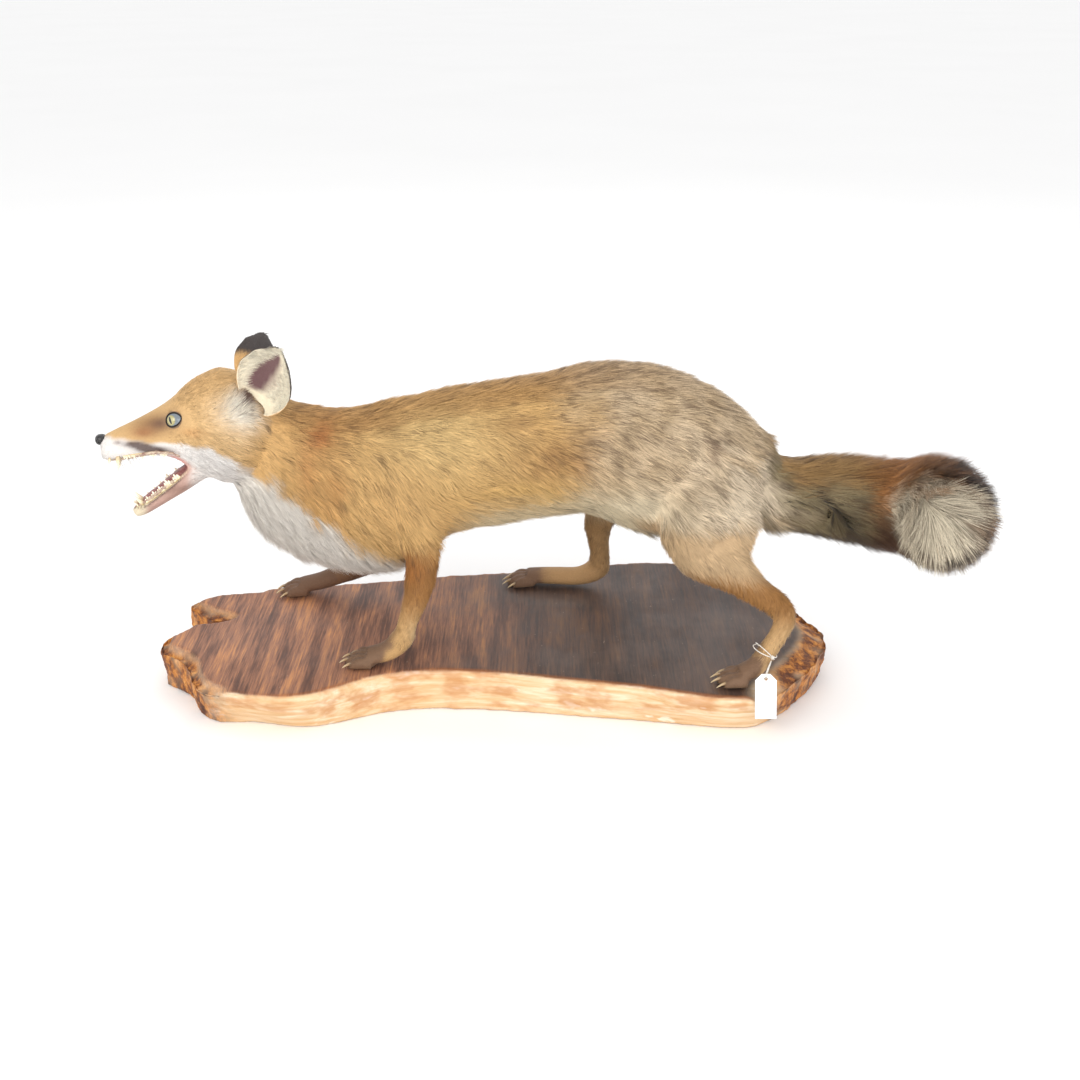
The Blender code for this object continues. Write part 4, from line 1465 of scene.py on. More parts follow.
@dataclass
class Hide:
    """The skin as arrays: places, triangles, edges and everything the coat is grown from."""

    points: np.ndarray
    faces: np.ndarray
    edges: np.ndarray
    fields: dict[str, np.ndarray] = field(default_factory=dict)

    @classmethod
    def of(cls, mesh: bpy.types.Mesh) -> "Hide":
        """Reads a mesh.

        Args:
            mesh: the mesh that is read.

        Returns:
            The hide with its fields still empty.
        """
        mesh.calc_loop_triangles()
        faces = np.empty(len(mesh.loop_triangles) * 3, np.int64)
        mesh.loop_triangles.foreach_get("vertices", faces)
        edges = np.empty(len(mesh.edges) * 2, np.int64)
        mesh.edges.foreach_get("vertices", edges)
        return cls(points_of(mesh), faces.reshape(-1, 3), edges.reshape(-1, 2))

    def face_normals(self) -> np.ndarray:
        """Gives each triangle's normal, as long as twice its area."""
        a, b, c = (self.points[self.faces[:, i]] for i in range(3))
        return np.cross(b - a, c - a)

    def normals(self) -> np.ndarray:
        """Gives each vertex's unit normal.

        Returns:
            One row for each vertex.
        """
        whole = self.face_normals()
        total = np.zeros_like(self.points)
        for corner in range(3):
            for axis in range(3):
                total[:, axis] += np.bincount(self.faces[:, corner], whole[:, axis], len(self.points))
        return unit(total)

    def relax(self, values: np.ndarray, rounds: int, share: float = 0.6) -> np.ndarray:
        """Smooths values over the mesh.

        Args:
            values: one row for each vertex.
            rounds: how often.
            share: how far each goes towards its neighbours' mean.

        Returns:
            The smoothed values.
        """
        count = len(self.points)
        first, second = self.edges.T
        degree = np.maximum(np.bincount(self.edges.ravel(), minlength=count), 1)
        flat = values.reshape(count, -1).astype(float).copy()
        for _ in range(rounds):
            for column in range(flat.shape[1]):
                line = flat[:, column]
                mean = (np.bincount(first, line[second], count) + np.bincount(second, line[first], count)) / degree
                flat[:, column] += (mean - line) * share
        return flat.reshape(values.shape)


def push(local: np.ndarray, points: np.ndarray, normals: np.ndarray, spots: Rows) -> np.ndarray:
    """Raises or sinks the face in soft mounds on both sides.

    Args:
        local: the vertices in the head's frame.
        points: the vertices in metres.
        normals: their normals.
        spots: rows of ahead, side, height, three radii and how far, in millimetres.

    Returns:
        The moved vertices.
    """
    both = local * np.array((1, 0, 1)) + np.abs(local) * np.array((0, 1, 0))
    for *centre, wide, deep, high, far in spots:
        share = near(both, centre, (wide, deep, high))
        points = points + normals * (share * far * MM)[:, None]
    return points


@dataclass
class Skin:
    """The whole hide: fused from the flesh and drawn in by the coat's depth; build_fox colours it and joins both ears.
    """

    voxel: float = 0.0018
    face_voxel: float = 0.0014
    triangles: int = 168000
    throat: Rows = (
        (-300, 264, 22, 42, 40, 34), (-284, 258, 24, 50, 54, 43), (-262, 246, 28, 54, 72, 50),
        (-236, 228, 30, 67, 84, 56), (-205, 213, 24, 83, 92, 60),
    )
    # Mounds on the face: ahead, side, height, three radii, how far out, in millimetres.
    mounds: Rows = (
        (84, 30, 298, 12, 12, 7, 1.8), (78, 44, 264, 20, 16, 14, 2.5), (113, 21, 272, 13, 10, 8, -2.6),
        (150, 15, 252, 12, 8, 7, 1.4), (128, 17, 252, 12, 8, 6, 1.0), (100, 0, 303, 16, 7, 10, -1.6),
        (50, 0, 326, 22, 9, 14, -1.2),
    )

    def fused(self) -> bpy.types.Object:
        """Fuses head, jaw, mouth, body and feet into one closed mesh.

        Returns:
            The fused object.
        """
        head = [SKULL.tube(SKULL.stations, 8, 48), SKULL.sloped(SKULL.jaw, 6, 32)]
        throat = []
        for x, z, lean, up, down, half in spread(self.throat, 4):
            turn = math.radians(lean)
            rise = np.array((math.sin(turn), 0.0, math.cos(turn)))
            throat.append(oval(np.array((x, 0.0, z)), np.array((0.0, 1.0, 0.0)), rise, half, up, down, 40) * MM)
        front = mesh_object("front", *gather([*head, loft(throat)]))
        remeshed(front, self.face_voxel, 6)
        cutter = mesh_object("cutter", *SKULL.tube(SKULL.mouth, 4, 32))
        cut = front.modifiers.new("mouth", "BOOLEAN")
        cut.operation, cut.solver, cut.object = "DIFFERENCE", "EXACT", cutter
        fixed(front)
        shell = (points_of(front.data), [tuple(f.vertices) for f in front.data.polygons])
        self.mouth = BVHTree.FromPolygons(*[list(map(tuple, part)) for part in SKULL.tube(SKULL.mouth, 4, 32)])
        discard(front)
        discard(cutter)
        kept = [node for node in REGION_OF if node not in ("head", "lower_jaw") and "paw" not in node]
        body = [cad_shell(node, SKIN_OVERLAP) for node in kept]
        feet = [piece for foot in FEET for piece in foot.lofts()]
        whole = mesh_object("skin", *gather([shell, *body, *feet]))
        return remeshed(whole, self.voxel, 3)

    def smoothed(self, obj: bpy.types.Object) -> None:
        """Smooths the trunk, legs and tail more than face and feet, then thins the mesh.

        Args:
            obj: the fused object, changed in place.
        """
        points = points_of(obj.data)
        local = HEAD.local(points)
        soft = step(points[:, 2], 0.075, 0.10) * step(local[:, 0], 60, 20)
        group = obj.vertex_groups.new(name="soft")
        for level in range(1, 11):
            which = np.nonzero((soft * 10).round() == level)[0]
            if len(which):
                group.add(which.tolist(), level / 10, "REPLACE")
        more = obj.modifiers.new("soft", "SMOOTH")
        more.factor, more.iterations, more.vertex_group = 0.5, 40, "soft"
        thin = obj.modifiers.new("thin", "DECIMATE")
        count = sum(len(face.vertices) - 2 for face in obj.data.polygons)
        thin.ratio = min(1.0, self.triangles / count)
        fixed(obj)
        obj.vertex_groups.clear()

    def regions(self, hide: Hide) -> np.ndarray:
        """Finds which part each vertex belongs to, as smoothed shares.

        Args:
            hide: the points and faces that are sorted.

        Returns:
            One row for each vertex, with a share for each region.
        """
        points, faces, owners = [], [], []
        start = 0
        for node, region in REGION_OF.items():
            some, theirs = cad_shell(node)
            points += [tuple(p) for p in some]
            faces += [tuple(start + i for i in face) for face in theirs]
            owners += [region.value] * len(theirs)
            start += len(some)
        tree = BVHTree.FromPolygons(points, faces)
        shares = np.zeros((len(hide.points), len(Region)))
        for row, point in enumerate(hide.points):
            shares[row, owners[tree.find_nearest(point)[2]]] = 1
        return shares

    def measure(self, hide: Hide) -> None:
        """Fills the fields that depth, lie and markings are read from.

        Args:
            hide: the hide whose fields are filled.
        """
        sharp = self.regions(hide)
        hide.fields["region"] = sharp.argmax(1)
        shares = hide.relax(sharp, 14)
        hide.fields["shares"] = shares / shares.sum(1, keepdims=True)
        local = HEAD.local(hide.points)
        hide.fields["local"] = local
        front = np.isin(hide.fields["region"], (Region.HEAD.value, Region.JAW.value)) & (local[:, 0] > 45)
        away = np.full(len(hide.points), 0.05)
        for row in np.nonzero(front)[0]:
            away[row] = self.mouth.find_nearest(hide.points[row])[3]
        hide.fields["lip"] = away / MM
        hide.fields["inside"] = hide.relax(step(away, 0.0016, 0.0009), 1)

    def build(self) -> tuple[bpy.types.Object, Hide]:
        """Makes the skin and the arrays that the coat grows from.

        Returns:
            The skin without its ears, and its arrays.
        """
        obj = self.fused()
        self.smoothed(obj)
        hide = Hide.of(obj.data)
        self.measure(hide)
        local = hide.fields["local"]
        is_head = hide.fields["shares"][:, Region.HEAD.value]
        hide.points = push(local, hide.points, hide.normals() * is_head[:, None], self.mounds)
        hide.fields.update(Lie().fields(hide))
        depth = hide.relax(hide.fields["depth"], 16)
        hide.points = hide.points - hide.normals() * (depth * MM)[:, None]
        hide.points[:, 2] = np.maximum(hide.points[:, 2], SLAB_TOP + 0.0002)
        hide.fields["normal"] = hide.normals()
        hide.fields["flow"] = Lie().flow(hide)
        set_points(obj.data, hide.points)
        return obj, hide


@dataclass(frozen=True)
class Lie:
    """How the coat lies: its depth, length, lift and density, and the way it flows, all over the animal."""

    eye_spot: tuple[float, float, float] = (97.0, 29.0, 281.5)

    def by_ear(self, local: np.ndarray) -> np.ndarray:
        """Gives how near places in the head's frame are to the front of an ear's root."""
        spot = np.column_stack([local[:, 0], np.abs(local[:, 1]), local[:, 2]])
        return np.clip(1.6 * near(spot, (44, 43, 301), (15, 13, 18)), 0, 1)

    def fields(self, hide: Hide) -> dict[str, np.ndarray]:
        """Grades every size of the coat.

        Args:
            hide: the skin's arrays, with its regions.

        Returns:
            Depth, length, width, lift and density for each vertex.
        """
        shares, local = hide.fields["shares"], hide.fields["local"]
        lip, inside = hide.fields["lip"], hide.fields["inside"]
        sizes = ("depth", "length", "width", "lift", "density")
        made = {key: shares @ np.array([getattr(GROWTH[region], key) for region in Region]) for key in sizes}
        x, _, z = (hide.points / MM).T
        ahead, side, high = local.T
        head, jaw, neck, trunk = shares[:, :4].T
        tail = shares[:, Region.TAIL.value]
        legs = shares[:, Region.FORE_NEAR.value : Region.PAWS.value].sum(1)
        bib = np.clip((trunk + neck) * step(x, -120, -190) * step(z, 215, 160), 0, 1)
        same = None
        # Where, then the depth, length, width, lift and density that the coat goes towards there.
        for share, *values in (
            (head * step(ahead, 96, 118), 1.1, 4.2, 0.5, 12, 95),
            (head * step(ahead, 92, 60) * step(high, 284, 256), 5.5, 15.0, 0.8, 22, 40),
            (head * self.by_ear(local), same, 13.0, 0.75, 27, same),
            (jaw * step(ahead, 80, 100), 0.6, same, same, same, same),
            (jaw * step(ahead, 70, 90), same, same, same, same, 8.0),
            (bib, same, 30.0, same, 27, same),
            (trunk * step(z, 205, 175) * step(x, -110, -60), same, 27.0, same, same, same),
            (tail * step(x, 262, 222), 7.0, 22.0, same, 24, same),
            (tail * step(x, 340, 372), same, same, same, 36, same),
            (tail * step(x, 335, 362), same, 42.0, same, same, same),
            (legs * step(z, 118, 155), 4.5, 14.0, 0.8, same, 40),
            (inside, 0.15, same, same, same, same),
            ((head + jaw) * step(lip, 7, 2), same, 2.2, same, same, same),
            ((head + jaw) * step(lip, 6, 2), 0.5, same, same, same, same),
        ):
            for key, value in zip(sizes, values):
                if value is not same:
                    made[key] = made[key] + (value - made[key]) * share
        # Bare mouth, and a bare ring round each eye with short hair beyond it.
        made["density"] = made["density"] * (1 - inside) * np.where((head + jaw) > 0.5, step(lip, 0.8, 2.2), 1)
        from_eye = np.column_stack([ahead, np.abs(side), high]) - self.eye_spot
        away = np.linalg.norm(from_eye * np.array((1.0, 0.55, 1.25)), axis=1)
        made["density"] = made["density"] * np.where(ahead > 60, step(away, 6.5, 8.5), 1)
        short = np.minimum(made["length"], np.maximum(away - 7.0, 0) * 0.8 + 2.0)
        made["length"] = np.where(ahead > 60, short, made["length"])
        return made

    def flow(self, hide: Hide) -> np.ndarray:
        """Gives the unit way that the hair lies at each vertex, along the skin.

        Args:
            hide: the skin's arrays, drawn in.

        Returns:
            One tangent for each vertex.
        """
        shares, local, normal = hide.fields["shares"], hide.fields["local"], hide.fields["normal"]
        x, y, z = (hide.points / MM).T
        ahead, side, high = local.T
        count = len(x)
        flat = np.abs(normal[:, 1])
        whole = np.zeros((count, 3))

        def add(region: Region, ways: np.ndarray) -> None:
            """Adds one region's flow by its share."""
            whole[:] += unit(np.broadcast_to(ways, (count, 3))) * shares[:, [region.value]]

        turned = np.array(HEAD.matrix())[:3, :3]
        side_sign = np.sign(side)
        cheek = step(ahead, 110, 60)
        face = np.column_stack([np.ones(count), side_sign * 0.25 * cheek, -0.55 * cheek * step(high, 300, 262)])
        face[:, 2] += 1.3 * self.by_ear(local)
        # The hair parts round the eye.
        spot = np.array(self.eye_spot)
        from_eye = np.column_stack([-(ahead - spot[0]), np.zeros(count), high - spot[2]])
        ring = np.exp(-((np.linalg.norm(from_eye, axis=1) / 13) ** 2)) * (ahead > 60)
        face += unit(from_eye) * ring[:, None] * 1.6
        add(Region.HEAD, face @ turned.T)
        add(Region.JAW, np.array((1.0, 0, -0.1)) @ turned.T)
        wave = Ripple(11, 0.12)(hide.points)
        swirl = Ripple(12, 0.07)(hide.points)
        add(Region.NECK, np.column_stack([np.ones(count), np.zeros(count), -0.25 - 0.55 * flat + 0.15 * wave]))
        shoulder = step(x, -60, -150) * step(z, 280, 220)
        rump = step(x, 120, 190)
        drop = -0.12 - 0.28 * flat - 0.75 * shoulder * flat - 0.8 * rump * flat + 0.30 * swirl * flat
        add(Region.TRUNK, np.column_stack([np.ones(count), np.zeros(count), drop]))
        add(Region.FORE_NEAR, np.array((0.10, 0, -1.0)))
        add(Region.FORE_FAR, np.array((-0.80, 0, -0.62)))
        thigh = step(z, 118, 150)
        add(Region.HIND_NEAR, np.column_stack([0.75 * thigh - 0.35 * (1 - thigh), np.zeros(count), -np.ones(count)]))
        add(Region.HIND_FAR, np.column_stack([0.45 * thigh - 0.30 * (1 - thigh), np.zeros(count), -np.ones(count)]))
        add(Region.PAWS, np.array((-1.0, 0, -0.12)))
        spots = spread(TAIL_LINE, 6)
        ways = unit(np.gradient(spots, axis=0))
        tail_rows = np.nonzero(shares[:, Region.TAIL.value] > 0.01)[0]
        apart = ((hide.points[tail_rows, None, :] / MM - spots[None]) ** 2).sum(2)
        share_of = np.exp(-(apart - apart.min(1, keepdims=True)) / 900.0)
        brush = np.zeros((count, 3))
        brush[:, 0] = 1
        brush[tail_rows] = unit(share_of @ ways)
        # At its end the brush opens like a flower round the middle of the dome.
        middle = np.array((354.0, -100.0, 220.0))
        out = hide.points / MM - middle
        out[:, 1] *= 0.15
        out = unit(out) + np.array((0.0, 0.0, -0.28))
        dome = step(y, -58, -84) * shares[:, Region.TAIL.value] * step(x, 318, 334)
        brush = brush * (1 - dome[:, None]) + unit(out) * dome[:, None]
        add(Region.TAIL, brush)
        whole -= normal * (whole * normal).sum(1, keepdims=True)
        whole = hide.relax(unit(whole), 12)
        whole -= normal * (whole * normal).sum(1, keepdims=True)
        return unit(whole)


# ------------------------------------------------------------------------------------------ the markings
@dataclass(frozen=True)
class Marks:
    """The animal's colours, with some painted light and shade, as one function of place that both the skin and the coat
    read.
    """

    tan: str = "DDB680"
    white: str = "ECE7E3"
    # Spots on the head: colour, then ahead, side, height, three radii, and the share that shows.
    head_spots: Rows = (
        ("D3A267", (80, 0, 318), (40, 40, 22), 0.5),
        ("9C7650", (117, 16, 277), (30, 20, 13), 0.9),
        ("6E5040", (114, 22, 279), (12, 10, 6), 0.85),
        ("9C6844", (128, 19, 271), (10, 9, 5), 0.75),
        ("C28B55", (84, 42, 272), (11, 12, 4), 0.55),
        ("E4C59A", (40, 40, 268), (22, 22, 20), 0.5),
    )
    # The white's upper edge on the cheek and the bib's on the chest: where, and how high.
    cheek_line: Rows = (
        (26, 36, 46, 56, 70, 91, 108, 126, 142, 159, 170), (216, 226, 234, 246, 257, 258, 259, 260, 263, 268, 263)
    )  # fmt: skip
    bib_line: Rows = (
        (-310, -288, -262, -240, -214, -192, -170, -142, -118), (248, 238, 227, 213, 192, 171, 157, 139, 119)
    )  # fmt: skip
    # The dark streak on the upper lip.
    streak: Rows = (((119, 18, 253), (12, 12, 3.2)), ((137, 17, 260), (9, 12, 2.6)), ((128, 17.5, 256.6), (9, 12, 3.0)))
    # Broken redder and browner spots on the body.
    body_spots: Rows = (
        ("A9582A", (-218, 40, 270), (15, 30, 11), 0.7),
        ("B26A35", (-232, 52, 243), (7, 20, 18), 0.55),
        ("8E5F38", (-166, 38, 276), (20, 25, 7), 0.5),
        ("B87A42", (-200, 50, 222), (9, 20, 24), 0.35),
        ("9A6C40", (20, 60, 252), (40, 30, 18), 0.6),
        ("94602F", (52, 58, 273), (15, 25, 8), 0.5),
        ("A87E50", (-35, 60, 283), (26, 30, 7), 0.45),
        ("D3AC68", (-10, 60, 216), (60, 30, 16), 0.6),
    )
    paw_reach: tuple = (28.0, 46.0, 26.0, 26.0)

    def layered(self, colour: np.ndarray, *layers: tuple[str, np.ndarray]) -> np.ndarray:
        """Lays colours over each other, each by its own share.

        Args:
            colour: the colour below.
            layers: a colour code and its share for each layer.

        Returns:
            One colour for each vertex.
        """
        for code, share in layers:
            colour = blend(colour, tint(code), share)
        return colour

    def plain(self, code: str, like: np.ndarray) -> np.ndarray:
        """Gives one colour for every row."""
        return np.tile(tint(code), (len(like), 1))

    def head(self, local: np.ndarray) -> tuple[np.ndarray, np.ndarray]:
        """Colours head, ears' roots, cheeks and throat, with the white greyed as painted shade under the jaw.

        Args:
            local: places in the head's frame, in millimetres.

        Returns:
            Colours, and the share of dark hair tips.
        """
        ahead, side, high = local.T
        both = np.column_stack([ahead, np.abs(side), high])
        spots = [(code, near(both, middle, radii) * share) for code, middle, radii, share in self.head_spots]
        colour = self.layered(self.plain(self.tan, local), *spots)
        pale = step(np.interp(ahead, *self.cheek_line) - high + 1.6 * Ripple(21, 0.02)(local * MM), -2.5, 3.0)
        streak = sum(near(both, middle, radii) for middle, radii in self.streak)
        colour = self.layered(
            colour,
            (self.white, pale),
            # Painted shade: the white is greyed lower down, under the jaw and on the throat.
            ("D9D2CB", pale * step(high, 250, 222) * 0.4),
            ("4B3530", np.clip(streak * 1.5, 0, 1) * 0.9),
            ("6B4E45", near(both, (152, 14, 262), (3.5, 8, 1.8)) * 0.7),
            ("EFE6D6", np.clip(1.6 * near(both, (37, 43, 289), (20, 14, 16)), 0, 1) * 0.95),
            ("5A3B3C", np.clip(1.6 * near(both, (31, 40, 303), (7, 14, 9)), 0, 1) * 0.85),
            ("5F6468", near(both, (101, 29, 284), (10, 12, 7)) * 0.35),
        )
        dark = 0.05 + 0.10 * near(both, (85, 20, 300), (20, 25, 12)) + 0.08 * step(ahead, 60, 30)
        return colour, dark * (1 - pale)

    def body(self, place: np.ndarray, rise: np.ndarray) -> tuple[np.ndarray, np.ndarray]:
        """Colours neck, trunk and thighs.

        Args:
            place: places in millimetres.
            rise: the upward part of the normals.

        Returns:
            Colours, and the share of dark hair tips.
        """
        x, y, z = place.T
        both = np.column_stack([x, np.abs(y), z])
        broad, fine = Ripple(31, 0.09)(place * MM), Ripple(32, 0.03)(place * MM)
        # Redder neck and shoulder, golden behind it, then the broken spots.
        colour = self.layered(
            self.plain("D1A86D", place),
            ("CF9C5F", step(x, -170, -235) * step(z, 320, 262) * 0.7),
            ("E2C287", near(both, (-105, 50, 272), (60, 40, 40)) * 0.8),
            ("D9AE74", near(both, (-150, 58, 205), (45, 30, 45)) * 0.6),
            *(
                (code, np.clip(near(both, middle, radii) * (1 + 0.35 * fine), 0, 1) * share)
                for code, middle, radii, share in self.body_spots
            ),
            ("CFA66D", step(x, -208, -258) * 0.9),
        )
        # Grey-tan hindquarters with an orange-tinged back, cream groin and belly, white bib; the rear and lower rump
        # are lightened as painted light, and the lower bib is greyed as painted shade.
        hind = step(x + 26 * broad + 0.35 * (z - 260), -10, 85)
        grey = self.layered(
            self.plain("D4BD9D", place), ("C7AF8D", step(fine, -0.6, 0.8)), ("DAC5A6", step(z, 235, 185))
        )
        spine = step(rise, 0.62, 0.93) * step(x, 190, 60)
        groin = near(both, (82, 48, 196), (44, 40, 27))
        edge = np.interp(x, *self.bib_line)
        bib = np.maximum(step(edge - z + 5 * fine, -7, 9), step(-rise, 0.35, 0.8) * step(x, -80, -150))
        colour = self.layered(
            blend(colour, grey, hind * 0.92),
            # Painted light: the rear of the rump is lightened where it faces sideways or down, against its shade.
            ("E6D8C0", step(x, 90, 190) * step(rise, 0.75, 0.2) * 0.55),
            ("C08E58", spine * (0.5 - 0.3 * step(x, -20, 120))),
            ("6A4A33", near(both, (155, 58, 265), (6, 16, 12)) * 0.75),
            ("CDA064", step(z, 200, 160) * step(x, 70, 120) * 0.7),
            ("E4D8BC", np.clip(groin * 1.25, 0, 1) * 0.74),
            ("E2D3B0", step(-rise, 0.25, 0.75) * step(x, -120, -60) * 0.75),
            ("E3DCD2", bib),
            # Painted shade: the bib is greyed lower down, where the chest turns under.
            ("CFC8C0", bib * step(z, 235, 170) * 0.3),
        )
        dark = 0.10 + 0.05 * fine + 0.24 * hind + 0.25 * near(both, (20, 60, 262), (60, 40, 22)) + 0.12 * spine
        dark = dark + 0.25 * near(both, (-185, 50, 262), (40, 30, 22))
        return colour, np.clip(dark, 0.03, 0.6) * (1 - bib) * (1 - 0.8 * groin)

    def legs(self, place: np.ndarray) -> tuple[np.ndarray, np.ndarray]:
        """Colours legs and paws.

        Args:
            place: places in millimetres.

        Returns:
            Colours, and the share of dark hair tips.
        """
        x, y, z = place.T
        fine = Ripple(41, 0.02)(place * MM)
        fore_near, hind_near = (y < 0) & (x < 0), (y < 0) & (x > 0)
        # Dark paws, and the far forearm's dark upper side.
        paw = np.zeros(len(x))
        for foot, reach in zip(FEET, self.paw_reach):
            heading, across = foot.ways()
            from_ball = place - np.array((*foot.ball, 0.0))
            along = from_ball @ heading
            here = (np.abs(from_ball @ across) < 30) & (np.abs(along) < 150)
            covered = step(along + 5 * fine, -reach, -reach + 16) * here * (z < 100)
            if foot.node == "hind_paw_right":
                covered = covered * step(along, -26, -8)
            paw = np.maximum(paw, covered)
        arm = (y > 0) & (x < -120)
        arm = arm * step(z - (52 + (-150 - x) * -0.28), 0, 14) * step(x, -120, -165)
        paw = np.maximum(paw, arm * 0.85)
        colour = self.layered(
            self.plain("9C6E3D", place),
            ("9C602C", near(place, (-122, -66, 152), (14, 22, 16)) * fore_near * 0.8),
            ("D3AE79", step(z, 125, 85) * fore_near * 0.6),
            ("EAD9B8", near(place, (-122, -66, 80), (7, 14, 16)) * 0.6),
            ("D2AD7C", hind_near * step(z, 124, 92) * 0.85),
            ("BE9A6E", (y > 0) * (x > -60) * 0.7),
            ("C9AC86", (x > 0) * step(z, 134, 156) * 0.9),
            ("A87B45", hind_near * near(place, (200, -80, 108), (26, 60, 22)) * 0.6),
            ("705545", np.clip(paw, 0, 1) * 0.9),
            ("8F7358", step(z, 52.0, 47.5) * paw * 0.5),
        )
        return colour, np.full(len(x), 0.08) + 0.3 * paw

    def tail(self, place: np.ndarray, normal: np.ndarray) -> tuple[np.ndarray, np.ndarray]:
        """Colours the brush: olive-grey sides, orange back, a darker underside as painted shade, cream end with a dark
        rim.

        Args:
            place: places in millimetres.
            normal: unit normals.

        Returns:
            Colours, and the share of dark hair tips.
        """
        x, y, z = place.T
        fine, broad = Ripple(51, 0.025)(place * MM), Ripple(52, 0.06)(place * MM)
        middle = step(x + 8 * broad, 292, 322)
        upper = step(normal[:, 2], -0.45, 0.55)
        out = np.hypot(x - 361, z - 207)
        end = step(-y, 22, 50) * step(x, 318, 330)
        face = step(-normal[:, 1] + 0.1 * fine, -0.05, 0.35) * end
        colour = self.layered(
            self.plain("897B5C", place),
            ("5E5340", step(fine, 0.1, 1.0) * 0.75),
            ("A07845", step(normal[:, 2], 0.35, 0.85) * step(x, 380, 330) * 0.75),
            # Painted shade: the side of the brush that faces down is darkened.
            ("43362A", step(-normal[:, 2], 0.2, 0.8) * 0.85),
            ("A06A3A", middle * (0.3 + 0.6 * upper)),
            # Painted shade: the middle band is dark brown on its underside.
            ("4A3022", middle * (1 - upper) * 0.85),
            ("513C34", end * step(out + 4 * broad, 32, 46) * step(x, 330, 350) * 0.95),
            ("D6CAB2", face * step(out + 5 * fine, 46, 26)),
        )
        return colour, 0.22 + end * (0.1 + 0.9 * step(out + 6 * fine, 18, 36) * step(x, 325, 345))

    def mouth(self, colour: np.ndarray, hide: Hide) -> np.ndarray:
        """Colours the bare jaw, the lips and the mouth's lining over the rest, with painted shade deep in the mouth.

        Args:
            colour: the coat's colour.
            hide: the hide that is coloured.

        Returns:
            One colour for each vertex.
        """
        shares, local = hide.fields["shares"], hide.fields["local"]
        lip, inside = hide.fields["lip"], hide.fields["inside"]
        ahead, side, high = local.T
        jaw = shares[:, Region.JAW.value]
        both = np.column_stack([ahead, np.abs(side), high])
        top = np.interp(ahead, (84, 106, 125, 138), (241, 223, 209.2, 200.7)) - high
        shelf = jaw * step(top, 6.0, 4.6) * step(ahead, 84, 96)
        speck = step(Ripple(58, 0.0035)(local * MM), 0.05, 0.5)
        seam = jaw * np.exp(-(((top - 6.4) / 0.9) ** 2)) * step(ahead, 88, 98) * step(ahead, 142, 132)
        front = (shares[:, Region.HEAD.value] + jaw) * (ahead > 50)
        corner = near(both, (99, 22, 245), (13, 12, 13)) * step(lip, 9, 4)
        return self.layered(
            colour,
            ("A98375", jaw * step(ahead, 72, 88) * 0.9),
            ("6E5246", jaw * near(both, (112, 15, 214), (26, 10, 5)) * 0.6),
            ("D5CBB0", jaw * step(ahead, 128, 138) * 0.85),
            ("CDC1A4", shelf * 0.9),
            ("6B5647", shelf * speck * 0.7),
            ("41302B", seam * 0.85),
            ("4A3430", front * step(lip, 3.4, 1.6) * 0.8),
            ("DC9F96", np.clip(corner * 1.4, 0, 1) * front * 0.95),
            ("A06C60", inside),
            # Painted shade: the lining is darkened towards the back of the mouth.
            ("5B3A36", inside * step(ahead, 96, 76)),
        )

    def everywhere(self, hide: Hide) -> tuple[np.ndarray, np.ndarray]:
        """Mixes the regions' colours for every vertex of the skin.

        Args:
            hide: the skin's arrays.

        Returns:
            Colours, and the share of dark hair tips.
        """
        shares, place, normal = hide.fields["shares"], hide.points / MM, hide.fields["normal"]
        total, dark = np.zeros((len(place), 3)), np.zeros(len(place))
        groups = (
            (shares[:, (Region.HEAD.value, Region.JAW.value)].sum(1), self.head(hide.fields["local"])),
            (shares[:, (Region.NECK.value, Region.TRUNK.value)].sum(1), self.body(place, normal[:, 2])),
            (shares[:, Region.FORE_NEAR.value : Region.TAIL.value].sum(1), self.legs(place)),
            (shares[:, Region.TAIL.value], self.tail(place, normal)),
        )
        for share, (colour, tips) in groups:
            total += colour * share[:, None]
            dark += tips * share
        return self.mouth(total, hide), np.clip(dark, 0, 1)

    def hollow(self, up: np.ndarray, turn: np.ndarray) -> np.ndarray:
        """Gives the ear's bare hollow, which runs from low in front to high behind, by share up and turn.

        Args:
            up: the share of the ear's height.
            turn: the turn round the ear.

        Returns:
            The hollow's share, from 0 to 1.
        """
        line = -0.36 + 0.42 * up
        band = np.exp(-(((turn - line) / (0.34 - 0.14 * up)) ** 2)) * step(up, 0.0, 0.12) * step(up, 0.98, 0.84)
        return np.clip(1.7 * band - 0.25, 0, 1)

    def ears(self, kinds: np.ndarray) -> np.ndarray:
        """Colours the ears: black backs over an orange root, cream rims round a purple-brown hollow, and painted shade
        deep in the cup.

        Args:
            kinds: share up, turn across and the inner flag of each point.

        Returns:
            Colours.
        """
        up, turn, inner = kinds.T
        hollow = self.hollow(up, turn)
        # Painted shade: a greyer patch deep in the ear's cup.
        deep = near(np.column_stack([up, turn]), (0.33, 0.0), (0.12, 0.3)) * (1 - hollow) * 0.7
        back = self.layered(self.plain("D3A870", kinds), ("3E3634", step(up, 0.30, 0.46)))
        front = self.layered(self.plain("EADFC6", kinds), ("5F3D45", hollow * 0.95), ("A9948C", deep))
        return back + (front - back) * inner[:, None]


MARKS = Marks()


# ------------------------------------------------------------------------------------------ the coat
@dataclass(frozen=True)
class Patch:
    """One coat piece: the regions it covers, on which side, its tufts and how they gather into locks."""

    name: str
    regions: tuple[Region, ...]
    side: int
    tufts: int
    clump: float
    per_clump: int
    seed: int


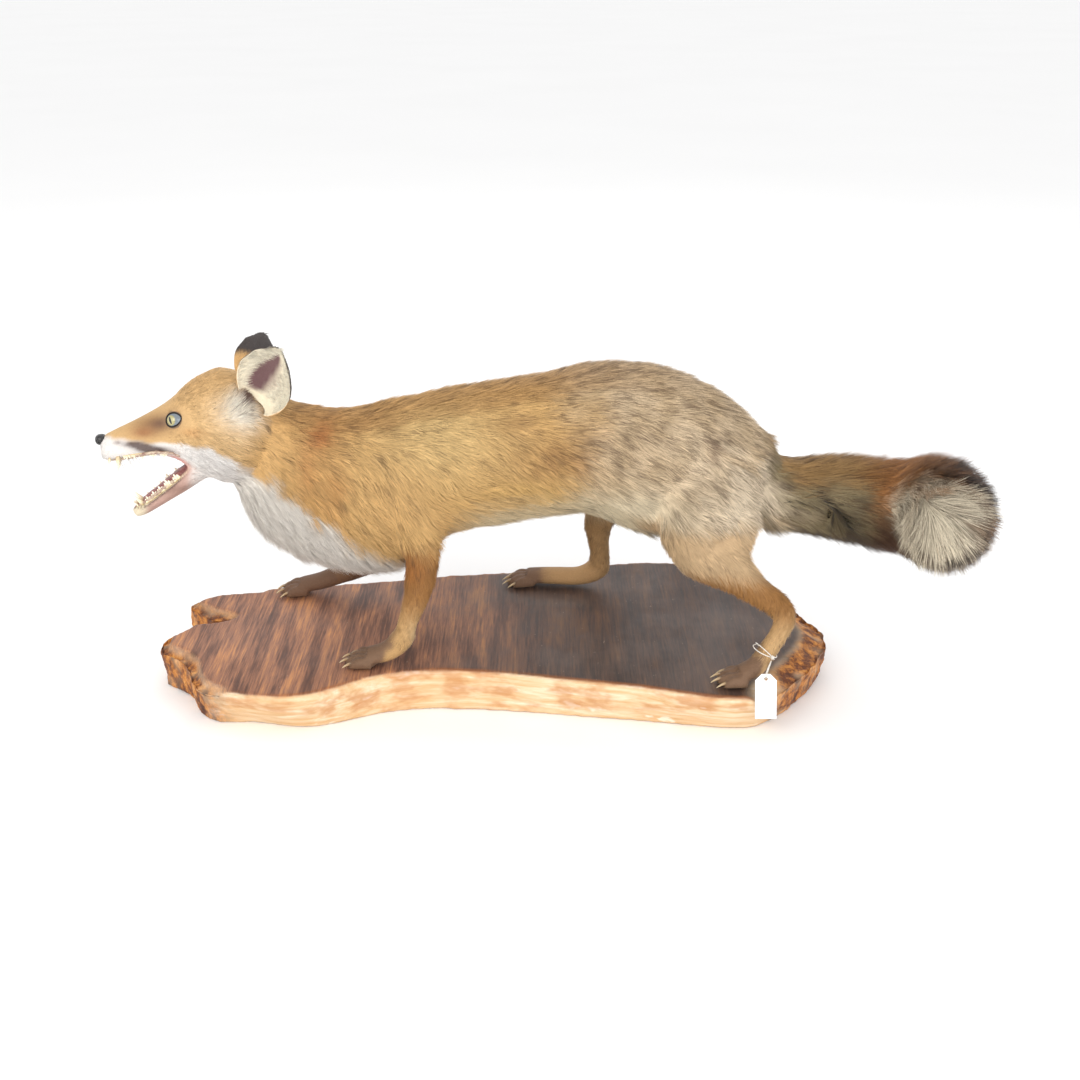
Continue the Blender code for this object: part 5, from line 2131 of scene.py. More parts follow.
PATCHES = (
    Patch("coat_head", (Region.HEAD, Region.JAW), 0, 41000, 0.10, 8, 101),
    Patch("coat_neck", (Region.NECK,), 0, 31000, 0.24, 14, 102),
    Patch("coat_trunk_left", (Region.TRUNK,), -1, 48000, 0.24, 14, 103),
    Patch("coat_trunk_right", (Region.TRUNK,), 1, 48000, 0.24, 14, 104),
    Patch("coat_fore_legs", (Region.FORE_NEAR, Region.FORE_FAR), 0, 19000, 0.12, 8, 105),
    Patch("coat_hind_legs", (Region.HIND_NEAR, Region.HIND_FAR), 0, 25000, 0.14, 8, 106),
    Patch("coat_paws", (Region.PAWS,), 0, 13000, 0.10, 6, 107),
    Patch("coat_tail", (Region.TAIL,), 0, 49000, 0.22, 16, 108),
)


@dataclass
class Roots:
    """Where tufts spring from, one row each: place, frame, sizes, colour, share of dark tips and flat place."""

    root: np.ndarray
    normal: np.ndarray
    flow: np.ndarray
    length: np.ndarray
    width: np.ndarray
    lift: np.ndarray
    colour: np.ndarray
    dark: np.ndarray
    place: np.ndarray

    def kept(self, keep: np.ndarray) -> "Roots":
        """Gives the rows that are marked to keep."""
        return Roots(*(column[keep] for column in vars(self).values()))


@dataclass(frozen=True)
class Tufts:
    """Closed, tapering tufts with a three-sided root and one tip, gathered into locks."""

    clump: float
    per_clump: int
    droop: float = 0.42
    sunk: float = 0.0006
    tip_tint: str = "4E3628"
    bright: float = 0.075
    root_shade: float = 0.78
    patch_size: float = 0.003
    # The four faces by point number, and each corner's place on its own small patch of the map.
    faces: tuple = ((2, 1, 0), (0, 1, 3), (1, 2, 3), (2, 0, 3))
    base_map: tuple = ((0.66, 0.0), (0.5, 0.12), (0.33, 0.0))
    side_foot: float = 0.12

    def heads(self, root: np.ndarray, rng: np.random.Generator) -> np.ndarray:
        """Picks for each tuft the tuft that its lock gathers to.

        Args:
            root: the tufts' roots.
            rng: the source of the draws.

        Returns:
            For each tuft, the number of its lock's middle tuft.
        """
        heads = rng.choice(len(root), max(len(root) // self.per_clump, 1), replace=False)
        tree = KDTree(len(heads))
        for row, head in enumerate(heads):
            tree.insert(root[head], row)
        tree.balance()
        return heads[np.array([tree.find(point)[1] for point in root])]

    def build(self, name: str, roots: Roots, rng: np.random.Generator) -> bpy.types.Object:
        """Builds one piece.

        Args:
            name: the piece's name.
            roots: where its tufts spring from.
            rng: the source of chance.

        Returns:
            One mesh of all the tufts, with Pelt colours and an OFBake map.
        """
        count = len(roots.root)
        head = self.heads(roots.root, rng)
        across = unit(np.cross(roots.normal, roots.flow))
        swing = rng.normal(0, 0.10, count) + rng.normal(0, 0.16, count)[head]
        flow = unit(roots.flow + across * swing[:, None])
        across = unit(np.cross(roots.normal, flow))
        lift = np.radians(roots.lift * rng.uniform(0.75, 1.25, count) * (0.85 + 0.3 * rng.random(count)[head]))
        length = roots.length * rng.uniform(0.72, 1.12, count) * (0.9 + 0.2 * rng.random(count)[head]) * MM
        width = roots.width * rng.uniform(0.6, 1.2, count) * MM
        sway = rng.normal(0, 0.07, count) * length
        rise = np.sin(lift) * length * (1 - self.droop) - self.sunk
        ways = ((flow, np.cos(lift) * length), (roots.normal, rise), (across, sway))
        tips = roots.root + sum(way * far[:, None] for way, far in ways)
        pull = (tips[head] - tips) * self.clump
        reach = np.linalg.norm(pull, axis=1, keepdims=True)
        pull *= np.minimum(1, 0.3 * length[:, None] / np.maximum(reach, 1e-9))
        foot = roots.root - roots.normal * self.sunk
        half = (width * 0.5)[:, None]
        rings, normals = [], []
        for way, lean in ((across, 1.0), (roots.normal, 0.9), (-across, 1.0)):
            rings.append(foot + way * half * lean)
            normals.append(unit(way * 0.42 + roots.normal * 1.2))
        points = np.stack([*rings, tips + pull], 1)
        tone = np.exp(rng.normal(0, self.bright, count) + rng.normal(0, self.bright, count)[head])
        base = roots.colour * tone[:, None]
        dark = (rng.random(count) < roots.dark * 0.85) | (rng.random(count)[head] < roots.dark * 0.12)
        # Dark tips are the coat's own; the other tips are lightened by a tenth as painted light, and the root ring is
        # darkened by root_shade as painted shade.
        tip = np.where(dark[:, None], base * 0.16 + tint(self.tip_tint) * 0.8, base * 1.10)
        colours = np.clip(np.stack([base * self.root_shade] * 3 + [tip], 1), 0.004, 0.98)
        return self.mesh(name, points, colours, np.stack([*normals, roots.normal], 1), roots.place)

    def mesh(
        self, name: str, points: np.ndarray, colours: np.ndarray, soft: np.ndarray, place: np.ndarray
    ) -> bpy.types.Object:
        """Turns the stacked tufts into one mesh.

        Args:
            name: the piece's name.
            points: tufts by points by three.
            colours: the same for colours.
            soft: the same for shading normals.
            place: each tuft's place on the map.

        Returns:
            The object.
        """
        count, each = points.shape[:2]
        sides = [((k / 3, self.side_foot), ((k + 1) / 3, self.side_foot), ((k + 0.5) / 3, 1.0)) for k in range(3)]
        spots = np.array([self.base_map, *sides]).reshape(-1, 2)
        loops = (np.array(self.faces).ravel()[None] + each * np.arange(count)[:, None]).ravel()
        begins = 3 * np.arange(len(self.faces) * count)
        mesh = bpy.data.meshes.new(name)
        mesh.vertices.add(count * each)
        mesh.loops.add(len(loops))
        mesh.loops.foreach_set("vertex_index", loops.astype(np.int32))
        mesh.polygons.add(len(begins))
        mesh.polygons.foreach_set("loop_start", begins.astype(np.int32))
        mesh.update(calc_edges=True)
        set_points(mesh, points)
        make_smooth(mesh)
        give(mesh, "Pelt", colours.reshape(-1, 3))
        places = (place[:, None, :] + spots[None] * self.patch_size).reshape(-1, 2)
        layer = mesh.uv_layers.new(name="OFBake", do_init=False)
        layer.uv.foreach_set("vector", places.astype(np.float32).ravel())
        mesh.normals_split_custom_set_from_vertices(soft.reshape(-1, 3).tolist())
        return link(bpy.data.objects.new(name, mesh))


@dataclass
class Coat:
    """All the hair, in pieces that each stay well under the size limit."""

    hide: Hide
    ear_tufts: int = 9000

    def unwrap(self, patch: Patch, roots: np.ndarray, region: np.ndarray) -> np.ndarray:
        """Lays roots out flat: along the part one way, round it the other.

        Args:
            patch: the coat piece.
            roots: places in metres.
            region: the region number of each.

        Returns:
            Two numbers from 0 to 1 for each root.
        """
        first = patch.regions[0]
        x, y, z = (roots / MM).T
        if first is Region.HEAD:
            ahead, side, high = HEAD.local(roots).T
            along = (ahead + 10) / 190
            middle = np.interp(ahead, (0, 90, 145, 170), (262, 268, 240, 250))
            round_by = np.arctan2(side, high - middle) / FULL_TURN + 0.5
        elif first is Region.NECK:
            along = (x * 0.8 - z * 0.6 + 460) / 330
            round_by = np.arctan2(y, z - np.interp(x, (-300, -200), (262, 212))) / FULL_TURN + 0.5
        elif first is Region.TRUNK:
            along = (x + 260) / 500
            middle = np.interp(x, (-205, -130, -40, 76, 200), (213, 206, 238, 250, 222))
            round_by = np.arctan2(np.abs(y), z - middle) / math.pi
        elif first is Region.TAIL:
            spots = spread(TAIL_LINE, 6)
            nearest = ((roots[:, None, :] / MM - spots[None]) ** 2).sum(2).argmin(1)
            ways = unit(np.gradient(spots, axis=0))[nearest]
            off = roots / MM - spots[nearest]
            level = unit(np.cross(ways, UP))
            along = (nearest + (off * ways).sum(1) / 6) / len(spots)
            round_by = np.arctan2((off * level).sum(1), off[:, 2]) / FULL_TURN + 0.5
        else:
            keys = region if first is not Region.PAWS else (x > -50) * 2 + (y > 0)
            along, round_by = np.zeros(len(x)), np.zeros(len(x))
            names = np.unique(keys)
            for slot, key in enumerate(names):
                here = keys == key
                main = x if first is Region.PAWS else z
                share = (main[here] - main[here].min()) / max(np.ptp(main[here]), 1)
                along[here] = share
                bins = np.clip((share * 12).astype(int), 0, 11)
                other = np.column_stack([y, z if first is Region.PAWS else x])[here]
                total = np.maximum(np.bincount(bins, minlength=12), 1)
                middle = np.column_stack([np.bincount(bins, column, 12) / total for column in other.T])[bins]
                turn = np.arctan2(*(other - middle).T) / FULL_TURN + 0.5
                round_by[here] = (slot + 0.02 + 0.94 * turn) / len(names)
        return np.clip(np.column_stack([along, round_by]), 0.004, 0.99)

    def grow(self, patch: Patch, material: bpy.types.Material) -> bpy.types.Object:
        """Grows one coat piece.

        Args:
            patch: which piece.
            material: the finish.

        Returns:
            The piece.
        """
        hide, fields = self.hide, self.hide.fields
        rng = np.random.default_rng(patch.seed)
        owner = np.isin(fields["region"], [region.value for region in patch.regions])
        if patch.side:
            owner = owner & (np.sign(hide.points[:, 1] + 1e-9) == patch.side)
        weight = (fields["density"] * owner)[hide.faces].mean(1) * np.linalg.norm(hide.face_normals(), axis=1)
        weight *= owner[hide.faces].sum(1) > 1
        pick, bary = drawn_faces(rng, weight, patch.tufts)
        corners = hide.faces[pick]
        keys = ("normal", "flow", "length", "width", "lift", "colour", "dark")
        normal, flow, *sizes, dark = (read_at(fields[key], corners, bary) for key in keys)
        root, normal = read_at(hide.points, corners, bary), unit(normal)
        flow = unit(flow - normal * (flow * normal).sum(1, keepdims=True))
        dark = np.clip(dark * (1 + 0.9 * Ripple(patch.seed + 40, 0.011)(root)), 0, 0.9)
        place = self.unwrap(patch, root, fields["region"][corners[:, 0]])
        roots = Roots(root, normal, flow, *sizes, dark, place).kept(root[:, 2] >= SLAB_TOP + ROOT_CLEARANCE)
        piece = dress(Tufts(patch.clump, patch.per_clump).build(patch.name, roots, rng), material)
        low = points_of(piece.data)
        low[:, 2] = np.maximum(low[:, 2], np.where(np.abs(low[:, 2] - SLAB_TOP) < 0.004, SLAB_TOP + 0.0001, low[:, 2]))
        set_points(piece.data, low)
        return piece

    def ears(self, material: bpy.types.Material) -> bpy.types.Object:
        """Grows the short hair on the ears' backs and the long cream hair inside their rims.

        Args:
            material: the finish that it wears.

        Returns:
            The finished piece.
        """
        rng = np.random.default_rng(120)
        turned = np.array(HEAD.matrix())[:3, :3]
        sets = []
        for number, ear in enumerate(EARS):
            points, faces, kinds = ear.shell()
            threes = np.array([(a, b, c) for a, b, c, d in faces] + [(a, c, d) for a, b, c, d in faces])
            hide = Hide(points, threes, np.zeros((0, 2), int))
            normal = hide.normals()
            half = len(points) // 2
            middle = unit(points[:half] - points[half:])
            facing = np.concatenate([middle, -middle])
            normal = np.where((normal * facing).sum(1, keepdims=True) < 0, -normal, normal)
            axis, _, across = ear.axes()
            axis, across = turned @ axis, turned @ across
            up, turn, inner = kinds.T
            within = (inner > 0.5)[:, None]
            hairy = inner * (1 - MARKS.hollow(up, turn)) * step(up, 0.02, 0.08)
            density = np.where(inner > 0.5, 0.06 + 0.9 * hairy, 1.0)
            inwards = step(turn, 0.9, 0.1)[:, None] * across * 1.1 + axis * 0.7
            flow = np.where(within, inwards, np.broadcast_to(axis, points.shape))
            flow = unit(flow - normal * (flow * normal).sum(1, keepdims=True))
            colour = MARKS.ears(kinds)
            colour = np.where(within, blend(colour, tint("EFE6D0"), hairy * 0.8), colour)
            weight = density[threes].mean(1) * np.linalg.norm(hide.face_normals(), axis=1)
            pick, bary = drawn_faces(rng, weight, self.ear_tufts)

            def take(values: np.ndarray) -> np.ndarray:
                """Reads a field at the roots."""
                return read_at(values, threes[pick], bary)

            up, turn, inside = take(up), take(turn), take(inner) > 0.5
            long = 3.5 + (3.0 + 6.0 * step(turn, 0.4, -0.4)) * take(hairy)
            length = np.where(inside, long, 4.6 - 1.5 * step(up, 0.6, 1.0)) * (1 - 0.3 * step(np.abs(turn), 0.75, 1.0))
            flat = np.column_stack([up * 0.9 + 0.04, (turn * 0.5 + 0.5) * 0.22 + 0.01])
            flat[:, 1] += 0.25 * (2 * number + inside)
            width, lift = np.where(inside, 0.55, 0.75), np.where(inside, 17.0, 13.0)
            dark = np.full(self.ear_tufts, 0.02)
            frames = take(points), unit(take(normal)), unit(take(flow))
            sets.append((*frames, length, width, lift, take(colour), dark, flat))
        roots = Roots(*(np.concatenate(columns) for columns in zip(*sets)))
        return dress(Tufts(0.15, 6, sunk=0.0003).build("coat_ears", roots, rng), material)


# ------------------------------------------------------------------------------------------ face, mouth and claws
@dataclass(frozen=True)
class Eye:
    """A glass eye in its lids; side is -1 for the fox's left."""

    side: int
    centre: tuple[float, float, float] = (96.0, 24.5, 281.0)
    radius: float = 9.0
    gaze: tuple[float, float, float] = (0.42, 0.86, 0.22)
    turn_ahead: float = 0.20
    half_open: tuple[float, float] = (55.0, 40.0)

    def frame(self) -> tuple[np.ndarray, np.ndarray, np.ndarray, np.ndarray]:
        """Gives the eye's centre in metres and its unit ways forward, across (towards the nose) and up.

        Returns:
            The centre and the three unit ways.
        """
        ahead, side, high = self.centre
        middle = HEAD.world((ahead, self.side * side, high))[0]
        forward = HEAD.way(self.gaze[0], self.side * self.gaze[1], self.gaze[2])
        nose = HEAD.way(1.0, 0.0, -0.22)
        across = unit(nose - forward * nose.dot(forward))
        up = np.cross(forward, across)
        return middle, forward, across, up * (1 if up[2] > 0 else -1)

    def glass(self, material: bpy.types.Material) -> bpy.types.Object:
        """Makes the glass with its cornea's bulge and its map.

        Args:
            material: the finish that it wears.

        Returns:
            The finished piece.
        """
        middle, forward, across, up = self.frame()
        spots, faces = ball()
        looking = unit(np.array((math.sin(self.turn_ahead), 0.0, math.cos(self.turn_ahead))))
        level = np.cross((0.0, 1.0, 0.0), looking)
        seen = np.column_stack([spots @ level, spots[:, 1], spots @ looking])
        bulge = 1 + 0.035 * step(seen[:, 2], 0.72, 0.95)
        points = middle + (spots * bulge[:, None]) @ np.array((across, up, forward)) * self.radius * MM
        made = mesh_object("glass_eye_left" if self.side < 0 else "glass_eye_right", points, faces)
        give(made.data, "EyeMap", seen)
        return dress(made, material)

    def lids(self) -> tuple[np.ndarray, list, np.ndarray]:
        """Makes the lids: an almond opening with a dark rolled rim that runs out under the hair.

        Returns:
            Points, faces and colours.
        """
        middle, forward, across, up = self.frame()
        around, deep = 64, 16
        turn = FULL_TURN * np.arange(around) / around
        wide, tall = (math.radians(a) for a in self.half_open)
        # The nose-side corner is drawn out and lower.
        x = np.cos(turn)
        y = np.sin(turn) * (1 - 0.28 * np.abs(np.cos(turn)) ** 3)
        y = np.where(np.sin(turn) > 0, y * 1.0, y * 0.92)
        x = x + 0.12 * np.maximum(np.cos(turn), 0) ** 4
        y = y - 0.10 * np.maximum(np.cos(turn), 0) ** 3
        points, colours = [], []
        for level in range(deep + 1):
            share = level / deep
            size = share**1.1
            out = np.hypot(x * wide, y * tall)
            angle = out + (math.radians(80) - out) * size
            spin = np.arctan2(y * tall, x * wide)
            height = self.radius * (1.035 + 0.10 * math.sin(math.pi * min(1, share * 1.6 + 0.05)) - 0.03 * share)
            lean = np.column_stack([np.cos(spin) * np.sin(angle), np.sin(spin) * np.sin(angle), np.cos(angle)])
            points.append(middle + lean @ np.array((across, up, forward)) * height * MM)
            rim = np.full(around, 1 - min(1, max(0, (share - 0.16) / 0.20)))
            colour = np.tile(tint("C99B63"), (around, 1))
            colour = blend(colour, tint("6E6A68"), np.full(around, math.exp(-(((share - 0.38) / 0.2) ** 2))) * 0.75)
            colours.append(blend(colour, tint("1B1513"), rim))
        # A second sheet inside closes the rim.
        inner = [middle + (points[0] - middle) * 0.93, middle + (points[-1] - middle) * 0.80]
        rings = [inner[1], inner[0], *points]
        shades = [colours[-1], colours[0], *colours]
        flat = np.concatenate(rings)
        count = len(rings)
        faces = [
            (r * around + i, r * around + (i + 1) % around, ((r + 1) % count) * around + (i + 1) % around,
             ((r + 1) % count) * around + i)
            for r in range(count) for i in range(around)
        ]  # fmt: skip
        return flat, faces, np.concatenate(shades)


def curved_cone(sides: int, rows: int, bend: float, blunt: float = 0.12, swell: float = 0.12) -> bpy.types.Object:
    """Makes a tooth or claw one unit long and one in radius, bent towards +X, with its Along attribute.

    Args:
        sides: points round it.
        rows: sections along it.
        bend: how far its tip leans, in lengths.
        blunt: its tip's radius.
        swell: how much it swells just above its root.

    Returns:
        The master shape.
    """
    rings, along = [], []
    for row in range(rows + 1):
        share = row / rows
        size = (1 - share**1.6) * (1 + swell * math.sin(math.pi * min(1, share * 2.2))) + blunt * share
        size *= 1 - 0.55 * step(np.array([share]), 0.92, 1.0)[0]
        spot = np.array((bend * share * share, 0.0, share))
        rings.append(oval(spot, np.array((0.0, 1.0, 0.0)), np.array((1.0, 0.0, 0.0)), size, size, size, sides))
        along += [share] * sides
    points, faces = loft(rings)
    made = mesh_object("master", points, faces)
    give(made.data, "Along", np.array(along + [0.0, 1.0]))
    return made


def stand(place: np.ndarray, way: np.ndarray, towards: np.ndarray, size: tuple) -> tuple[Vector, Matrix, Vector]:
    """Gives a spot for the scatter tree: Z along the way, X as near as can be towards a direction.

    Args:
        place: the spot in metres.
        way: where its Z points.
        towards: where its X leans.
        size: the scale on each axis.

    Returns:
        Place, rotation and size.
    """
    z = unit(way)
    x = unit(towards - z * towards.dot(z))
    turn = Matrix(np.column_stack([x, np.cross(z, x), z]).tolist())
    return Vector(place), turn, Vector(size)


@dataclass(frozen=True)
class Teeth:
    """Both rows of teeth; every size in millimetres."""

    upper_fang: tuple = (153.0, 0.66, 13.5, 2.2)
    lower_fang: tuple = (133.0, 0.66, 12.0, 2.1)
    upper_cheek: Rows = ((145, 3.6), (138, 4.0), (131, 4.4), (121, 5.4), (111, 4.6))
    lower_cheek: Rows = ((127, 4.4), (120.5, 4.8), (114, 5.4), (106.5, 7.0), (98, 5.4))
    shares: tuple = (-0.62, -0.38, -0.13, 0.13, 0.38, 0.62)
    # Each cusp's shift along the row and its share of the height.
    cusps: Rows = ((0.0, 1.0), (2.3, 0.62), (-2.3, 0.58))

    def spot(self, upper: bool, at: tuple, sunk: float, lean: tuple, towards: float, size: tuple) -> tuple:
        """Gives one tooth's spot for the scatter tree.

        Args:
            upper: whether it stands in the upper row.
            at: how far ahead, and the share of the half width out.
            sunk: how deep its root is sunk.
            lean: how far its way leans ahead and out.
            towards: 1 if it bends ahead, -1 if it bends back.
            size: its two radii and its height.

        Returns:
            Place, rotation and size.
        """
        ahead, out = lean
        if upper:
            root, way = SKULL.upper_gum(*at) + (0, 0, sunk), HEAD.way(ahead, out, -1)
        else:
            root, rise = SKULL.lower_gum(*at)
            root, way = root - rise * sunk, HEAD.way(rise[0] + ahead, out, rise[2])
        return stand(HEAD.world(root)[0], way, HEAD.way(1, 0, 0) * towards, size)

    def fangs(self, material: bpy.types.Material) -> bpy.types.Object:
        """Makes the four canines and twelve incisors.

        Args:
            material: the finish that it wears.

        Returns:
            The finished piece.
        """
        spots = []
        for side in (-1, 1):
            for upper, fang, sunk, extra, ahead, out in (
                (True, self.upper_fang, 2.5, 2.5, 0.12, 0.04),
                (False, self.lower_fang, 2.0, 2.0, 0.25, 0.06),
            ):
                at, share, length, radius = fang
                size = (radius * MM, radius * MM, (length + extra) * MM)
                spots.append(self.spot(upper, (at, side * share), sunk, (ahead, side * out), -1, size))
        for share in self.shares:
            far = abs(share)
            spots.append(self.spot(True, (163 - 3 * far, share), 1.8, (0.1, 0), 1, (0.0011, 0.0012, 0.0062)))
            spots.append(self.spot(False, (138.5 - 2 * far, share), 1.6, (0.3, 0), 1, (0.0010, 0.0010, 0.0054)))
        return scatter("front_teeth", curved_cone(12, 9, 0.16), spots, material)

    def cheek(self, material: bpy.types.Material) -> bpy.types.Object:
        """Makes the cheek teeth, each a blade of one tall cusp between two low ones.

        Args:
            material: the finish that it wears.

        Returns:
            The finished piece.
        """
        spots = []
        for side in (-1, 1):
            for upper, rows, stretch, share, out in (
                (True, self.upper_cheek, 1.0, 0.74, 0.0),
                (False, self.lower_cheek, 0.85, 0.8, 0.05),
            ):
                for ahead, length in rows:
                    for shift, tall in self.cusps:
                        at = (ahead + shift * stretch, side * share)
                        size = (0.0019, 0.0014, (length * tall + 2.0) * MM)
                        spots.append(self.spot(upper, at, 2.0, (0, side * out), 1, size))
        return scatter("cheek_teeth", curved_cone(10, 7, 0.03, 0.2), spots, material)


@dataclass(frozen=True)
class Mouth:
    """Gums, tongue, nose and whiskers."""

    droop: tuple[float, float, float] = (-6.0, 0.0, -3.5)

    def gums(self, material: bpy.types.Material) -> bpy.types.Object:
        """Makes the ridges of gum that the teeth stand in.

        Args:
            material: the finish that it wears.

        Returns:
            The finished piece.
        """
        pieces = []
        bumps = Ripple(61, 0.006)
        for side in (-1, 1):
            for upper in (False, True):
                marks = np.linspace(96, 137 if not upper else 160, 30)
                spots = []
                for ahead in marks:
                    share = side * (0.78 if ahead < 128 else 0.78 - 0.3 * (ahead - 128) / 30)
                    spot = SKULL.upper_gum(ahead, share) if upper else SKULL.lower_gum(ahead, share)[0]
                    spots.append(spot)
                path = HEAD.world(np.array(spots))
                taper = np.sin(np.pi * np.linspace(0.06, 0.97, 30)) ** 0.5
                sizes = np.column_stack([taper * 0.0017, taper * 0.0022])
                rings = path_rings(path, sizes, HEAD.way(0, 1, 0), 14)
                points, faces = loft(rings)
                centre = np.concatenate([np.repeat(path, 14, axis=0), path[[0]], path[[-1]]])
                points = centre + (points - centre) * (1 + 0.22 * bumps(points))[:, None]
                pieces.append((points, faces))
        return dress(mesh_object("gums", *gather(pieces)), material)

    def tongue(self, material: bpy.types.Material) -> bpy.types.Object:
        """Makes the tongue with its middle groove.

        Args:
            material: the finish that it wears.

        Returns:
            The finished piece.
        """
        points, faces = SKULL.sloped(SKULL.tongue, 6, 28)
        local = HEAD.local(points)
        groove = np.exp(-((local[:, 1] / 1.8) ** 2)) * step(local[:, 0], 72, 84)
        local[:, 2] -= 0.9 * groove
        local[:, 2] += 0.25 * Ripple(62, 0.004)(points)
        return dress(mesh_object("tongue_piece", HEAD.world(local), faces), material)

    def nose(self, material: bpy.types.Material) -> bpy.types.Object:
        """Makes the nose pad with its nostrils and middle groove.

        Args:
            material: the finish that it wears.

        Returns:
            The finished piece.
        """
        spots, faces = ball()
        # Unit ball: x ahead, y side, z up.
        blocky = np.sign(spots) * np.abs(spots) ** 0.86
        nostril = np.zeros(len(spots))
        for side in (-1, 1):
            hole = near(spots, (0.78, side * 0.52, -0.08), (0.34, 0.20, 0.26))
            slit = near(spots, (0.45, side * 0.85, -0.28), (0.45, 0.22, 0.14))
            nostril = np.maximum(nostril, np.maximum(hole, 0.6 * slit))
        groove = np.exp(-((spots[:, 1] / 0.07) ** 2)) * step(spots[:, 0], 0.3, 0.8) * step(spots[:, 2], 0.5, -0.2)
        size = 1 - 0.42 * nostril - 0.14 * groove
        local = blocky * size[:, None] * np.array((5.6, 7.0, 5.2)) + np.array((167.8, 0.0, 263.2))
        return dress(mesh_object("nose_pad", HEAD.world(local), faces), material)

    def whiskers(self, material: bpy.types.Material) -> bpy.types.Object:
        """Makes the whiskers of both lips.

        Args:
            material: the finish that it wears.

        Returns:
            The finished piece.
        """
        rng = np.random.default_rng(63)
        paths = []
        share = np.linspace(0, 1, 7)[:, None]
        for side in (-1, 1):
            for row in range(3):
                for column in range(3):
                    ahead = 154 - 7.5 * column + rng.uniform(-1, 1)
                    start = np.array((ahead, side * (10.5 + 1.4 * column), 258.0 - 4.2 * row + 0.6 * column))
                    length = rng.uniform(11, 19)
                    way = unit(np.array((-0.10 - 0.10 * column, side * 0.30, -0.85 - 0.12 * row)))
                    spots = start + way * length * share + np.array(self.droop) * share * share
                    paths.append((HEAD.world(spots), False))
        return whisker_tree().run(poly_curve("whiskers", paths), Root_Radius=0.00026, Material=material)


def claws(material: bpy.types.Material) -> bpy.types.Object:
    """Makes the sixteen curved claws, one at each toe's end.

    Args:
        material: the finish that it wears.

    Returns:
        The finished piece.
    """
    spots = []
    for foot in FEET:
        for root, way, reach, share in foot.toes():
            place = root + way * (reach - 2.6)
            place[2] = SLAB_TOP / MM + 7.4 - 1.2 * share * share
            lean = unit(way + np.array((0, 0, -0.10)))
            size = (0.0017, 0.0015, 0.0108)
            spots.append(stand(place * MM, lean, -UP, size))
    return scatter("claws", curved_cone(10, 9, 2.3, 0.16, 0.05), spots, material)


# ------------------------------------------------------------------------------------------ the stand and the tag
@dataclass(frozen=True)
class Slab:
    """The waney-edged slab, remeshed finely, with saw marks, a worn rim and rough bark ends."""

    voxel: float = 0.0025
    # Seed and size, in metres, of each ripple: three of roughness, growth layers, two of saw marks, wear.
    ripples: Rows = ((72, 0.05), (73, 0.018), (74, 0.008), (75, 0.09), (76, 0.05), (77, 0.012), (78, 0.022))

    def build(self, material: bpy.types.Material) -> bpy.types.Object:
        """Makes the slab in place of the CAD one, with its Face, Bark and Rim attributes.

        Args:
            material: the finish that it wears.

        Returns:
            The finished piece.
        """
        points, faces = cad_shell("base_slab")
        top = points[points[:, 2] > SLAB_TOP - 1e-5]
        obj = mesh_object("slab", points, faces)
        remeshed(obj, self.voxel, 4)
        hide = Hide.of(obj.data)
        normal = hide.relax(hide.normals(), 2)
        x, y, z = hide.points.T
        centre = top[:, :2].mean(0)
        order = np.argsort(np.arctan2(*(top[:, :2] - centre).T))
        ring = np.concatenate([top[order, :2], top[order[:1], :2]])
        fine = np.concatenate([np.linspace(a, b, 8)[:-1] for a, b in zip(ring, ring[1:])])
        tree = KDTree(len(fine))
        for i, spot in enumerate(fine):
            tree.insert((*spot, 0.0), i)
        tree.balance()
        to_rim = np.array([tree.find((a, b, 0.0))[2] for a, b in hide.points[:, :2]])
        face = step(normal[:, 2], 0.45, 0.85) * step(z, SLAB_TOP - 0.006, SLAB_TOP - 0.002)
        face = hide.relax(face, 1)
        at_right = step(to_rim, 0.030, 0.018) * step(x, 0.19, 0.215)
        worn = np.maximum(at_right, step(to_rim, 0.011, 0.005) * step(x, -0.29, -0.32))
        worn *= step(z, SLAB_TOP - 0.008, SLAB_TOP - 0.002)
        face *= 1 - worn
        under = step(-normal[:, 2], 0.5, 0.9)
        side = np.clip(1 - face - under, 0, 1)
        ends = np.maximum(step(x, -0.285, -0.335), step(x, 0.205, 0.245))
        bark = np.clip(np.maximum(ends, step(y, 0.02, 0.06)) * (1 + 0.25 * Ripple(71, 0.03)(hide.points)), 0, 1)
        fields = (Ripple(seed, size)(hide.points) for seed, size in self.ripples)
        coarse, middling, small, layer, stroke, tooth, use = fields
        rough = coarse * 0.9 + middling * 0.6 + small * 0.3
        layers = np.sin(z * FULL_TURN / 0.007 + 2.5 * layer) * 0.18
        push_out = side * (rough * (0.35 + 0.75 * bark) + layers - 0.5) * MM
        saw = face * (0.10 * np.sin(x * FULL_TURN / 0.0062 + 1.5 * stroke) + 0.12 * tooth)
        rim = step(to_rim, 0.014, 0.0)
        wear = face * step(to_rim, 0.007, 0.0) * (0.5 + 0.5 * use)
        moved = hide.points + normal * push_out[:, None]
        moved[:, 2] += (saw * 0.6 - wear * 0.9 - 0.12 * face - 9.0 * worn * step(to_rim, 0.028, 0.0)) * MM
        moved[:, 2] = np.clip(moved[:, 2], 0.0, SLAB_TOP)
        set_points(obj.data, moved)
        make_smooth(obj.data)
        for key, values in (("Face", face), ("Bark", bark * (1 - face)), ("Rim", rim)):
            give(obj.data, key, values)
        return dress(obj, material)


